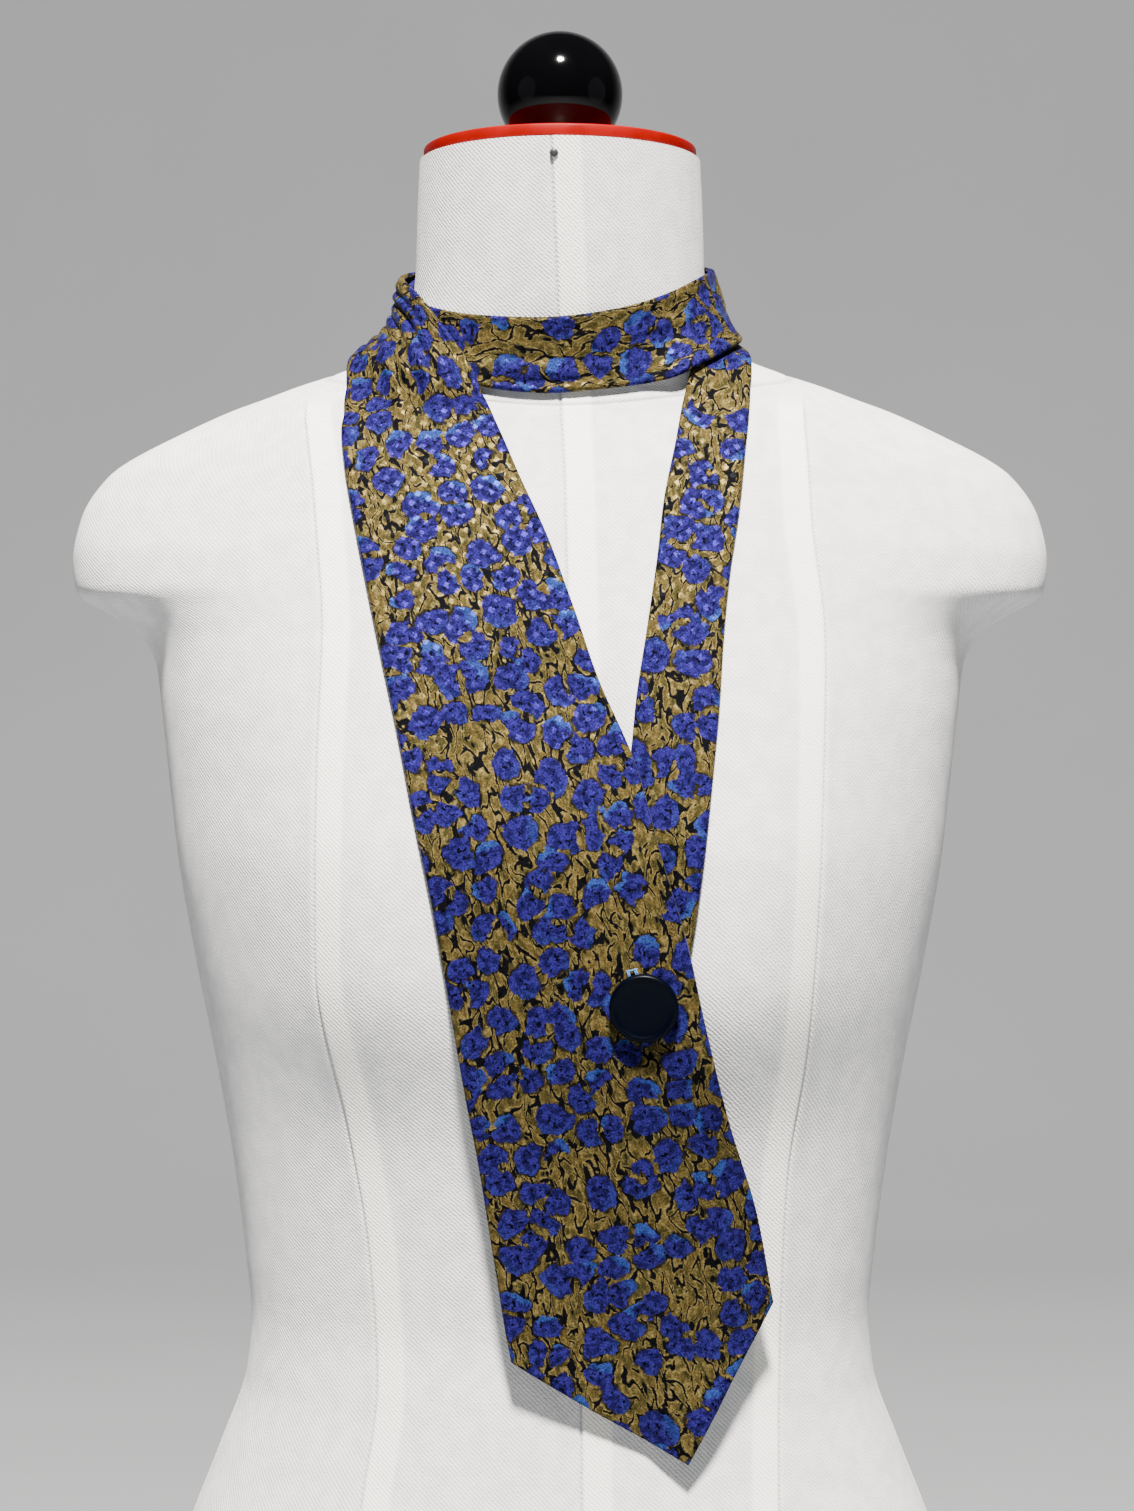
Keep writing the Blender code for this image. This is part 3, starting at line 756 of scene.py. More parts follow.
    def front_point(self, x: float, height: float) -> Row:
        """Point on the front of the form."""
        half_width, front, _, power = column_values(self.fine_rings, height)
        base = self.front_depth(x, half_width, front, power)
        return (x, -float(base + self.bust(x, height, half_width)), height)

    def neck_point(self, angle: float, height: float) -> Row:
        """Point on the form at an angle round the neck."""
        turn = math.radians(angle)
        direction = np.array([math.sin(turn), -math.cos(turn)])
        return (*(direction / self.joined_level(*direction, height)), height)

    def ring(self, turn: Grid, height: Grid) -> Grid:
        """Points of the surface round the form.

        Args:
            turn: angles of an oval that spreads the points, from the viewer's right.
            height: height of each point.

        Returns:
            Points, one for each angle.
        """
        middle = float(np.mean(height))
        half_width, front, back, _ = column_values(self.fine_rings, middle)
        spread = max(half_width, column_values(self.fine_arms, middle)[0])
        x, y = spread * np.cos(turn), (front + back) / 2 * np.sin(turn)
        level = self.joined_level(x, y, height)
        x, y = x / level, y / level
        core_width = column_values(self.fine_rings, height)[0]
        y = y - np.where(y < 0, self.bust(x, height, core_width), 0)
        return np.stack([x, y, height], -1)


# The dress form

class Side(Enum):
    """Where a seam runs on the form."""

    FRONT = "front"
    BACK = "back"
    EDGE = "edge"


@dataclass(frozen=True)
class Seam:
    """One seam of the cover that runs up the form."""

    name: str
    side: Side
    # Columns: height, x.
    course: Table
    top: float
    # Allowance after the seam or before it, counted round from the viewer's right to the back.
    allowance_after: bool
    fade: float = 8.0
    fine_count: int = 400

    def __post_init__(self) -> None:
        """Read the course finely once."""
        object.__setattr__(self, "fine", table_rows(self.course, self.fine_count))

    def x_at(self, height: float) -> float:
        """Where the seam runs at a height."""
        return float(np.interp(height, self.fine[:, 0], self.fine[:, 1]))

    def shows(self, height: Grid) -> Grid:
        """1 where the seam is there, fading out at its top."""
        return soft_step((self.top - height) / self.fade)


@dataclass
class StitchRow:
    """A row of thread stitches made with Geometry Nodes along a path."""

    name: str
    pitch: float
    length: float
    thickness: float
    waver: float
    seed: int

    def tree(self, finish: bpy.types.Material) -> bpy.types.GeometryNodeTree:
        """Tree that lays one stitch at each step of the path.

        Args:
            finish: material of the thread.

        Returns:
            The node tree, with named inputs for its sizes.
        """
        tree = bpy.data.node_groups.new(self.name, "GeometryNodeTree")
        face = tree.interface
        face.new_socket("Geometry", in_out="INPUT", socket_type="NodeSocketGeometry")
        for label in ("Pitch", "Length", "Thickness", "Waver"):
            face.new_socket(label, in_out="INPUT", socket_type="NodeSocketFloat")
        face.new_socket("Seed", in_out="INPUT", socket_type="NodeSocketInt")
        face.new_socket("Geometry", in_out="OUTPUT", socket_type="NodeSocketGeometry")
        source = add_node(tree, "NodeGroupInput").outputs
        steps = add_node(tree, "GeometryNodeResampleCurve", {
            "Curve": source["Geometry"], "Length": source["Pitch"]}, mode="LENGTH")
        stitch = add_node(tree, "GeometryNodeMeshUVSphere", {
            "Segments": 6, "Rings": 4, "Radius": 0.5})
        size = add_node(tree, "ShaderNodeCombineXYZ", {
            0: source["Thickness"], 1: source["Thickness"], 2: source["Length"]})
        course = add_node(tree, "GeometryNodeInputTangent")
        turn = add_node(tree, "FunctionNodeAlignRotationToVector", {
            "Vector": course.outputs[0]}, axis="Z")
        low = add_node(tree, "ShaderNodeMath", {0: source["Waver"], 1: -1.0},
                       operation="MULTIPLY")
        angle = add_node(tree, "FunctionNodeRandomValue", {
            2: low.outputs[0], 3: source["Waver"], "Seed": source["Seed"]}, data_type="FLOAT")
        tilt = add_node(tree, "FunctionNodeAxisAngleToRotation", {
            "Axis": (0.0, 1.0, 0.0), "Angle": angle.outputs[1]})
        both = add_node(tree, "FunctionNodeRotateRotation", {
            0: turn.outputs[0], 1: tilt.outputs[0]}, rotation_space="LOCAL")
        laid = add_node(tree, "GeometryNodeInstanceOnPoints", {
            "Points": steps.outputs[0], "Instance": stitch.outputs[0],
            "Rotation": both.outputs[0], "Scale": size.outputs[0]})
        whole = add_node(tree, "GeometryNodeRealizeInstances", {0: laid.outputs[0]})
        dressed = add_node(tree, "GeometryNodeSetMaterial", {
            "Geometry": whole.outputs[0], "Material": finish})
        add_node(tree, "NodeGroupOutput", {0: dressed.outputs[0]})
        return tree

    def build(self, paths: list[Grid], finish: bpy.types.Material) -> bpy.types.Object:
        """Make the stitches along paths.

        Args:
            paths: points of each path, in millimetres.
            finish: material of the thread.

        Returns:
            The finished piece.
        """
        curve = bpy.data.curves.new(self.name + "_path", "CURVE")
        curve.dimensions = "3D"
        for path in paths:
            spline = curve.splines.new("POLY")
            spline.points.add(len(path) - 1)
            flat = np.column_stack([np.asarray(path) * MM, np.ones(len(path))])
            spline.points.foreach_set("co", flat.ravel())
        guide = bpy.data.objects.new(self.name + "_path", curve)
        bpy.context.scene.collection.objects.link(guide)
        tree = self.tree(finish)
        modifier = guide.modifiers.new("stitches", "NODES")
        modifier.node_group = tree
        values = {"Pitch": self.pitch * MM, "Length": self.length * MM,
                  "Thickness": self.thickness * MM, "Waver": self.waver, "Seed": self.seed}
        for item in tree.interface.items_tree:
            if item.in_out == "INPUT" and item.name in values:
                modifier[item.identifier] = values[item.name]
        graph = bpy.context.evaluated_depsgraph_get()
        mesh = bpy.data.meshes.new_from_object(guide.evaluated_get(graph), depsgraph=graph)
        mesh.name = self.name
        guide.modifiers.remove(modifier)
        bpy.data.objects.remove(guide, do_unlink=True)
        mesh.shade_smooth()
        return new_piece(self.name, mesh, finish, sharp=180)


@dataclass
class DressForm:
    """Covered torso with its seams, neck plate, ball knob and tack."""

    shape: FormShape
    row_count: int = 300
    columns_in_panel: int = 35
    sample_count: int = 1440
    # Extra rows and columns that draw the rounded base, the neckline seam and the panel's edges.
    base_rows: Row = (0.35, 0.9, 1.6)
    neckline_rows: Row = (-3.2, -1.6, -0.8, -0.35, 0.0, 0.35, 0.8, 1.6, 3.2)
    neckline_clear: float = 3.6
    panel_edge: Row = (0, 0.35, 0.8, 1.6, 3.2, 10.8, 12.6)
    narrow_panel: float = 60.0
    seam_limit: float = 0.97
    base_rounding: float = 1.6
    groove_depth: float = 0.55
    groove_width: float = 0.5
    puff_height: float = 0.20
    puff_place: float = 1.7
    puff_width: float = 1.1
    allowance_width: float = 12.0
    allowance_rise: float = 0.30
    allowance_start: float = 0.8
    allowance_edge: float = 1.4
    neckline_row: float = 606.0
    neckline_front: float = 589.8
    neckline_rise: float = 33.0
    neckline_bow: float = 0.85
    neckline_reach: float = 46.0
    # First height, last height and step of the places that set where the stitches run.
    stitch_heights: Row = (6.0, 690.0, 4.0)
    stitch_depth: float = 0.42
    plate_inset: float = 1.6
    plate_sides: int = 128
    plate_rounding: float = 1.1
    plate_flat_edge: float = 2.6
    ball_rings: int = 56
    ball_sides: int = 96
    tack_radius: float = 1.7
    tack_dome: float = 0.9
    tack_rise: float = 0.8
    tack_x: float = -2.2
    tack_height: float = 686.5
    seams: tuple[Seam, ...] = (
        Seam("right side", Side.EDGE, ((0, 0), (700, 0)), 600, True),
        Seam("right back", Side.BACK, ((0, 74), (228, 58), (440, 74), (600, 84)), 596, False),
        Seam("centre back", Side.BACK, ((0, 0), (700, 0)), 700, True),
        Seam("left back", Side.BACK, ((0, -74), (228, -58), (440, -74), (600, -84)), 596, True),
        Seam("left side", Side.EDGE, ((0, 0), (700, 0)), 600, False),
        Seam("left front", Side.FRONT, (
            (0, -86), (100, -80), (163, -76), (213, -70), (263, -73), (313, -81), (376, -92),
            (440, -92), (497, -91), (545, -95), (592, -101)), 596, True),
        Seam("centre front", Side.FRONT, ((0, 9), (199, 8.2), (592, 0.9), (672, -2.6),
                                          (700, -3.6)), 700, True),
        Seam("right front", Side.FRONT, (
            (0, 92), (100, 87), (163, 84), (283, 87), (340, 94), (397, 98), (440, 100),
            (497, 102), (545, 98), (592, 97)), 596, False),
    )

    def heights(self) -> Grid:
        """Heights of the cover's rows, closer together at the neckline seam."""
        rows = table_rows(self.shape.rings, self.row_count)[:, 0]
        rows = rows[np.abs(rows - self.neckline_row) > self.neckline_clear]
        near = self.neckline_row + np.array(self.neckline_rows)
        return np.unique(np.concatenate([rows, near, self.base_rows]))

    def neckline(self, turn: Grid) -> Grid:
        """Height of the neckline seam round the neck, lowest in front."""
        behind = (1 + np.sin(turn)) / 2
        return self.neckline_front + self.neckline_rise * behind ** self.neckline_bow

    def warped(self, turn: Grid, row: float) -> Grid:
        """Heights along a row, so that one row follows the neckline seam."""
        share = 1 - soft_step(abs(row - self.neckline_row) / self.neckline_reach)
        return row + share * (self.neckline(turn) - self.neckline_row)

    def seam_turns(self, ring: Grid, turn: Grid, row: float) -> list[float]:
        """Angles at which the seams cross one row."""
        middle = len(turn) // 2
        back_x, front_x = ring[:middle + 1, 0], ring[middle:, 0]
        found = []
        for number, seam in enumerate(self.seams):
            if seam.side is Side.EDGE:
                found.append(0.0 if number == 0 else math.pi)
                continue
            limit = self.seam_limit * min(front_x.max(), -back_x.min())
            x = float(np.clip(seam.x_at(row), -limit, limit))
            if seam.side is Side.BACK:
                found.append(float(np.interp(-x, -back_x, turn[:middle + 1])))
            else:
                found.append(float(np.interp(x, front_x, turn[middle:])))
        return found + [TURN]

    def panel_places(self, width: float) -> Grid:
        """Distances across a panel, closer together at its two seams."""
        near = np.array(self.panel_edge) * min(1.0, width / self.narrow_panel)
        # A panel's last place is the next one's first, and the inner run drops its two ends.
        count = self.columns_in_panel + 3 - 2 * len(near)
        inner = np.linspace(near[-1], width - near[-1], count)[1:-1]
        return np.concatenate([near, inner, width - near[::-1]])

    def relief(self, offset: Grid, seam: Seam, after: bool, height: Grid) -> tuple[Grid, ...]:
        """Relief beside one seam.

        Args:
            offset: distance from the seam.
            seam: the seam.
            after: whether this side comes after the seam.
            height: height of each point.

        Returns:
            Height added to the surface, share of allowance and share of seam line, the groove that
            gets painted shade.
        """
        shows = seam.shows(height)
        groove = np.exp(-(offset / self.groove_width) ** 2)
        puff = np.exp(-((offset - self.puff_place) / self.puff_width) ** 2)
        band = np.zeros_like(offset)
        if seam.allowance_after == after:
            inside = soft_step((self.allowance_width - offset) / self.allowance_edge)
            band = inside * soft_step(offset / self.allowance_start)
        raised = self.puff_height * puff - self.groove_depth * groove
        return (raised + self.allowance_rise * band) * shows, band * shows, groove * shows

    def cover_grid(self) -> dict[str, Grid]:
        """Points of the cover, with what its material reads.

        Returns:
            Grids by row and column: points, allowance, seam, and across by row and panel.
        """
        turn = np.linspace(0, TURN, self.sample_count + 1)
        points, allowance, line, across = [], [], [], []
        for row in self.heights():
            ring = self.shape.ring(turn, self.warped(turn, row))
            steps = np.linalg.norm(np.diff(ring, axis=0), axis=1)
            run = np.concatenate([[0], np.cumsum(steps)])
            marks = np.interp(self.seam_turns(ring, turn, row), turn, run)
            angles, added, bands, lines, rows_across = [], [], [], [], []
            for number, seam in enumerate(self.seams):
                width = marks[number + 1] - marks[number]
                places = self.panel_places(width)
                there = np.interp(marks[number] + places, run, turn)
                height = self.warped(there, row)
                other = self.seams[(number + 1) % len(self.seams)]
                near = self.relief(places, seam, True, height)
                far = self.relief(width - places, other, False, height)
                added.append((near[0] + far[0])[:-1])
                bands.append(np.maximum(near[1], far[1])[:-1])
                lines.append(np.maximum(near[2], far[2])[:-1])
                angles.append(there[:-1])
                rows_across.append(places - width / 2)
            angle = np.concatenate(angles)
            height = self.warped(angle, row)
            surface = self.shape.ring(angle, height)
            lift = np.concatenate(added)
            neck = abs(row - self.neckline_row)
            lift = lift - self.groove_depth * math.exp(-(neck / self.groove_width) ** 2)
            lift = lift - self.base_rounding * (1 - math.sqrt(max(
                0.0, 1 - max(0.0, 1 - row / self.base_rounding) ** 2)))
            points.append((surface, lift))
            allowance.append(np.concatenate(bands))
            line.append(np.maximum(np.concatenate(lines), math.exp(-(neck / self.groove_width) ** 2)))
            across.append(rows_across)
        surface = np.array([p[0] for p in points])
        lift = np.array([p[1] for p in points])
        normal = unit(self.shape.gradient(surface))
        inside = surface[..., 2] < self.shape.rings[-1][0] - 0.01
        normal[..., 2] = np.where(inside, normal[..., 2], 0)
        level = surface[..., 2:3] < 2 * self.base_rounding
        normal = np.where(level, normal * (1, 1, 0), normal)
        return {"points": surface + normal * lift[..., None], "allowance": np.array(allowance),
                "seam": np.array(line), "across": across}

    def build_cover(self, finish: bpy.types.Material) -> bpy.types.Object:
        """Covered torso from the flat base to the top of the neck."""
        grid = self.cover_grid()
        points = grid["points"]
        rows, columns = points.shape[:2]
        faces = quad_strip(rows, columns, True)
        faces.append(tuple(range(columns))[::-1])
        faces.append(tuple(range((rows - 1) * columns, rows * columns)))
        mesh = bpy.data.meshes.new("form_cover")
        mesh.from_pydata((points.reshape(-1, 3) * MM).tolist(), [], faces)
        mesh.shade_smooth()
        layer = mesh.uv_layers.new(name="cut")
        heights = points[..., 2]
        corners = []
        panel = self.columns_in_panel
        for r in range(rows - 1):
            for number in range(len(self.seams)):
                low, high = grid["across"][r][number], grid["across"][r + 1][number]
                for c in range(len(low) - 1):
                    one, two = number * panel + c, (number * panel + c + 1) % columns
                    corners += [low[c], heights[r, one], low[c + 1], heights[r, two],
                                high[c + 1], heights[r + 1, two], high[c], heights[r + 1, one]]
        ends = np.concatenate([points[0][::-1, :2], points[-1][:, :2]])
        flat = np.concatenate([np.array(corners), ends.ravel()])
        layer.data.foreach_set("uv", flat)
        # The seam share marks the seam and neckline grooves, which the cover darkens with painted
        # shade.
        for name in ("allowance", "seam"):
            values = mesh.attributes.new(name, "FLOAT", "POINT")
            values.data.foreach_set("value", grid[name].ravel())
        piece = new_piece("form_cover", mesh, finish, sharp=60)
        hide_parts("form_torso")
        return piece

    def seam_paths(self) -> list[Grid]:
        """Middle lines of the seams that run up the form, just inside their grooves."""
        turn = np.linspace(0, TURN, self.sample_count + 1)
        paths = [[] for _ in self.seams]
        for row in np.arange(*self.stitch_heights):
            ring = self.shape.ring(turn, self.warped(turn, row))
            found = self.seam_turns(ring, turn, row)
            for number, seam in enumerate(self.seams):
                if row < seam.top - seam.fade:
                    place = np.array([found[number]])
                    height = self.warped(place, row)
                    paths[number].append(self.shape.ring(place, height)[0])
        laid = []
        for path in paths:
            line = np.array(path)
            laid.append(line - unit(self.shape.gradient(line)) * self.stitch_depth)
        return laid

    def build_plate(self, finish: bpy.types.Material) -> bpy.types.Object:
        """Lacquered cap with a rounded rim."""
        low, high = np.array(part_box("neck_plate")) * MM_IN_METRE
        _, half_width, front, back, _ = self.shape.rings[-1]
        thickness = high[2] - low[2]
        turn = np.linspace(0, TURN, self.plate_sides, endpoint=False)
        round_off = self.plate_rounding
        flat = 1 - self.plate_flat_edge / half_width
        profile = [(0, 0), (0.6, 0), (flat, 0)]
        for step in np.linspace(-90, 90, 13):
            angle = math.radians(step)
            inset = round_off * (1 - math.cos(angle))
            middle = thickness / 2 + (thickness / 2 - round_off) * np.sign(angle)
            profile.append((1 - inset / half_width, middle + round_off * math.sin(angle)))
        profile += [(flat, thickness), (0.6, thickness), (0, thickness)]
        depth = np.where(np.sin(turn) < 0, front, back) - self.plate_inset
        squash = (np.full(self.plate_sides, half_width - self.plate_inset), depth)
        points, faces = turned_mesh(profile, self.plate_sides, squash)
        points[:, 2] += low[2]
        piece = new_piece("neck_cap", new_mesh("neck_cap", points, faces), finish, sharp=70)
        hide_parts("neck_plate")
        return piece

    def build_ball(self, finish: bpy.types.Material) -> bpy.types.Object:
        """Polished ball on its small flat foot."""
        low, high = np.array(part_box("ball_knob")) * MM_IN_METRE
        radius = (high[0] - low[0]) / 2
        centre = (low + high) / 2
        middle = high[2] - radius
        lowest = math.asin((low[2] - middle) / radius)
        angles = np.linspace(lowest, math.pi / 2, self.ball_rings)
        profile = [(0, radius * math.sin(lowest))]
        profile += [(radius * math.cos(a), radius * math.sin(a)) for a in angles]
        points, faces = turned_mesh(profile, self.ball_sides)
        points += (centre[0], centre[1], middle)
        piece = new_piece("ball_top", new_mesh("ball_top", points, faces), finish, sharp=60)
        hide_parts("ball_knob")
        return piece

    def build_tack(self, finish: bpy.types.Material) -> bpy.types.Object:
        """Small domed tack in the front of the neck."""
        spot = np.array(self.shape.front_point(self.tack_x, self.tack_height))
        outward = unit(self.shape.gradient(spot[None]))[0]
        spot = spot + self.tack_rise * outward
        profile = [(0, -0.8)]
        profile += [(self.tack_radius * math.cos(a), self.tack_dome * math.sin(a))
                    for a in np.linspace(-0.6, math.pi / 2, 9)]
        points, faces = turned_mesh(profile, 20)
        points = turned_to(points, outward) + spot
        piece = new_piece("neck_tack", new_mesh("neck_tack", points, faces), finish, sharp=60)
        return piece


# The cravat

@dataclass(frozen=True)
class Fold:
    """A soft ridge or trough that runs along the strip and fades out at both ends."""

    place: float
    drift: float
    half_width: float
    height: float
    start: float
    end: float

    def at(self, lengths: Grid, across: Grid, widths: Grid) -> Grid:
        """Height that the fold adds."""
        middle, half = (self.start + self.end) / 2, (self.end - self.start) / 2
        run = (lengths - middle) / half
        offset = (across - self.place - self.drift * run) * widths
        return self.height * (1 - soft_step(np.abs(run))) * hill(offset, self.half_width)


@dataclass(frozen=True)
class StripCut:
    """Cross-lines of the strip from its narrow end to its tip, on the form."""

    shape: FormShape
    # Columns: x and height of the neck edge, then of the outer edge.
    strip_chest: Table = (
        (9, 350, 42, 345),
        (15, 380, 48.5, 376),
        (21, 418, 54, 413),
        (27, 454, 58, 450),
        (29, 474, 60, 469),
        (33, 500, 62, 496),
        (37, 527, 65, 523),
        (40, 551, 69, 547),
        (45, 575, 72, 571),
        (48, 591, 74, 588),
    )
    # Columns: x, y, height of the neck edge, then of the outer edge.
    strip_shoulder: Table = (
        (51, -40, 603, 74.3, -32, 598),
        (54.5, -31, 614, 74.2, -21, 604.8),
        (57.5, -19, 624, 73.2, -7, 610.5),
        (59, -4, 633, 71.5, 8, 613.5),
        (58.5, 10, 640.5, 68, 21, 615),
        (55.5, 22.5, 647, 62, 32.5, 618),
    )
    # Columns: angle from the front through the viewer's right, upper edge, lower edge.
    neck_turns: Table = (
        (137, 658, 627),
        (160, 665.5, 633.5),
        (180, 669, 637),
        (205, 666, 634),
        (235, 656, 625),
        (265, 644.5, 616),
        (290, 634, 608),
        (315, 627, 599),
        (335, 625, 594.8),
        (355, 624.6, 593.8),
        (375, 626.3, 595),
        (393, 629.8, 597),
        (408, 634.8, 600.2),
        (425, 642, 608.5),
        (445, 648.5, 616),
        (465, 653, 620.5),
        (490, 658.5, 624),
        (515, 663, 626.5),
        (540, 664.5, 627),
        (565, 662, 624.5),
        (590, 656, 619),
    )
    blade_shoulder: Table = (
        (-58, 8, 649, -69, 27, 611.5),
        (-57.5, -10, 643.5, -78, 6, 609.5),
        (-55.2, -25, 637, -82.5, -13, 607),
        (-51.5, -33, 630.5, -84, -26, 603),
        (-46, -40, 622, -84.3, -34, 598),
        (-40, -45, 613.5, -85, -38.5, 592.5),
        (-34.3, -48.5, 604, -85, -43, 587),
    )
    blade_chest: Table = (
        (-30, 593, -85, 580),
        (-23, 578, -83, 563),
        (-15, 559, -79, 543),
        (-5, 537, -74, 520),
        (5, 510, -68, 493),
        (15, 481, -61, 462),
        (29, 449, -54.5, 429),
        (38.5, 416, -47.6, 396),
        (48, 384, -41.6, 362),
        (55, 350, -35.5, 328),
        (62.8, 317, -29.3, 295),
        (73, 283, -24, 261),
        (80, 246, -18, 225),
    )
    tip_x: float = 46.2
    tip_height: float = 184.2

    def __post_init__(self) -> None:
        """Work out the cross-lines, their lengths and their slopes once."""
        shape = self.shape
        lines = [(shape.front_point(a, b), shape.front_point(c, d))
                 for a, b, c, d in self.strip_chest]
        lines += [((a, b, c), (d, e, f)) for a, b, c, d, e, f in self.strip_shoulder]
        lines += [(shape.neck_point(turn, up), shape.neck_point(turn, low))
                  for turn, up, low in self.neck_turns]
        lines += [((a, b, c), (d, e, f)) for a, b, c, d, e, f in self.blade_shoulder]
        lines += [(shape.front_point(a, b), shape.front_point(c, d))
                  for a, b, c, d in self.blade_chest]
        corners = np.array(lines[-1])
        tip = np.array([self.tip_x, corners[:, 1].mean(), self.tip_height])
        lines.append(tuple(corners + tip - corners.mean(0)))
        grid = np.array(lines, float)
        steps = np.linalg.norm(np.diff(grid.mean(1), axis=0), axis=-1)
        lengths = np.concatenate([[0], np.cumsum(steps)])
        gap = steps[:, None, None]
        rise = np.diff(grid, axis=0) / gap
        inner = (rise[:-1] * gap[1:] + rise[1:] * gap[:-1]) / (gap[:-1] + gap[1:])
        slopes = np.concatenate([rise[:1], inner, rise[-1:]])
        for name, value in (("lines", grid), ("lengths", lengths), ("slopes", slopes)):
            object.__setattr__(self, name, value)

    def points(self, lengths: Grid, across: Grid) -> Grid:
        """Points of the strip before they are laid on the form."""
        row = np.clip(np.searchsorted(self.lengths, lengths, "right") - 1, 0, len(self.lines) - 2)
        gap = (self.lengths[row + 1] - self.lengths[row])[..., None, None]
        t = (lengths - self.lengths[row])[..., None, None] / gap
        edges = self.lines[row] * (1 + 2 * t) * (1 - t) ** 2
        edges = edges + self.slopes[row] * gap * t * (1 - t) ** 2
        edges = edges + self.lines[row + 1] * t * t * (3 - 2 * t)
        edges = edges + self.slopes[row + 1] * gap * t * t * (t - 1)
        return edges[..., 0, :] * (1 - across[..., None]) + edges[..., 1, :] * across[..., None]

    def widths(self, lengths: Grid) -> Grid:
        """Width of the strip at lengths along it."""
        widths = np.linalg.norm(self.lines[:, 1] - self.lines[:, 0], axis=-1)
        return np.interp(lengths, self.lengths, widths)

    def length_at(self, place: float) -> float:
        """Length along the strip at a count of cross-lines."""
        return float(np.interp(place, np.arange(len(self.lines)), self.lengths))

    def turn_length(self, angle: float) -> float:
        """Length along the strip at an angle of the turns round the neck."""
        first = len(self.strip_chest) + len(self.strip_shoulder)
        angles = [row[0] for row in self.neck_turns]
        return self.length_at(np.interp(angle, angles, first + np.arange(len(angles))))


@dataclass(frozen=True)
class Stretch:
    """One stretch of the strip: where it starts and ends, its rows, and what it lies on."""

    name: str
    start: float
    end: float
    coarse_rows: int
    coarse_columns: int
    rows: int
    beneath: tuple[str, ...]


@dataclass
class Cravat:
    """The folded silk strip, its button and its bar tack."""

    cut: StripCut
    wall: float = 2.6
    clearance: float = 1.0
    layer_gap: float = 0.6
    edge_rounding: float = 0.9
    step_reach: float = 2.5
    step_fade: float = 15.0
    bridging: float = 0.8
    bridging_top: float = 590.0
    bridging_fade: float = 40.0
    fall_slope: float = 0.07
    fall_limit: float = 11.0
    tip_blend: float = 80.0
    columns: int = 65
    gather_excess: float = 0.38
    gather_reach: Row = (90.0, 150.0)
    edge_places: Row = (0.0, 0.38, 1.3, 2.3)
    # Puckers along the folded edges: their height, how far in they reach, and their lengths.
    pucker_height: float = 0.13
    pucker_reach: float = 6.0
    pucker_lengths: Row = (2.9, 17.3, 4.7)
    # Gathers at the blade's shoulder turn.
    # Columns: place across, drift, half width, height, start and end past the shoulder line.
    gathers: Table = (
        (0.08, 0.00, 2.6, 1.1, -40, 75),
        (0.20, 0.00, 2.8, 1.7, -55, 105),
        (0.33, 0.00, 2.6, 1.9, -35, 130),
        (0.45, 0.00, 3.0, 1.6, -60, 95),
        (0.57, 0.00, 2.8, 1.8, -25, 120),
        (0.70, 0.00, 3.2, 1.3, -45, 80),
        (0.86, 0.00, 3.4, 0.8, -20, 60),
        (0.05, 0.01, 1.1, -0.5, -45, 150),
        (0.15, 0.02, 1.2, -0.6, -30, 95),
        (0.26, 0.01, 1.1, -0.8, -35, 120),
        (0.35, -0.02, 1.1, -0.6, -20, 60),
        (0.40, 0.00, 1.1, -0.8, -35, 105),
        (0.52, 0.01, 1.2, -0.7, -25, 130),
        (0.58, 0.03, 1.0, -0.5, -25, 55),
        (0.66, 0.02, 1.2, -0.7, -30, 100),
        (0.80, 0.03, 1.3, -0.5, -30, 75),
        (0.92, 0.02, 1.2, -0.4, -20, 50),
    )
    # Long soft creases of the turns round the neck, in degrees of the turn.
    creases: Table = (
        (0.30, 0.00, 3.0, 0.8, 150, 250),
        (0.66, 0.00, 3.2, 0.7, 175, 275),
        (0.72, 0.00, 3.4, 0.8, 318, 392),
        (0.35, 0.00, 3.2, 0.7, 352, 452),
        (0.60, 0.00, 3.0, 0.9, 430, 560),
        (0.28, 0.00, 3.4, 1.0, 500, 600),
        (0.84, -0.04, 1.6, -0.5, 322, 400),
        (0.52, 0.05, 1.8, -0.4, 300, 372),
        (0.46, -0.05, 2.0, 0.4, 410, 480),
        (0.80, 0.03, 1.7, -0.4, 196, 262),
        (0.15, 0.04, 1.8, -0.4, 520, 585),
    )
    # Soft drag lines of the flat stretches, in length along the strip.
    drags: Table = (
        (0.30, 0.10, 5.0, 0.35, 60, 190),
        (0.68, -0.08, 4.0, -0.30, 130, 290),
        (0.40, 0.06, 4.5, 0.40, 230, 350),
        (0.62, 0.10, 9.0, 0.50, 985, 1150),
        (0.25, -0.06, 8.0, -0.45, 1010, 1190),
        (0.46, 0.08, 11.0, 0.45, 1120, 1290),
        (0.78, -0.10, 9.0, -0.40, 1180, 1330),
        (0.18, 0.05, 8.0, 0.35, 1230, 1380),
    )
    button_radius: float = 13.0
    button_sides: int = 96
    # Columns: share of the radius, inset from it, share of the thickness, offset from it.
    button_profile: Table = (
        (0.0, 0, 0, 0),
        (0.5, 0, 0, 0),
        (1, 1.3, 0, 0),
        (1, 0.75, 0, 0.18),
        (1, 0.3, 0, 0.55),
        (1, 0.06, 0, 1.1),
        (1, 0, 0, 1.7),
        (1, 0.06, 1, -1.3),
        (1, 0.3, 1, -0.65),
        (1, 0.7, 1, -0.22),
        (1, 1.2, 1, -0.03),
        (1, 1.7, 1, -0.06),
        (1, 2.2, 1, -0.28),
        (1, 2.7, 1, -0.52),
        (1, 3.4, 1, -0.62),
        (0.55, 0, 1, -0.72),
        (0.25, 0, 1, -0.78),
        (0, 0, 1, -0.8),
    )
    # Where the thread tack lies on the front, across and up, and how high it starts.
    tack_place: Row = (26.8, 372.9)
    tack_base: float = 0.45
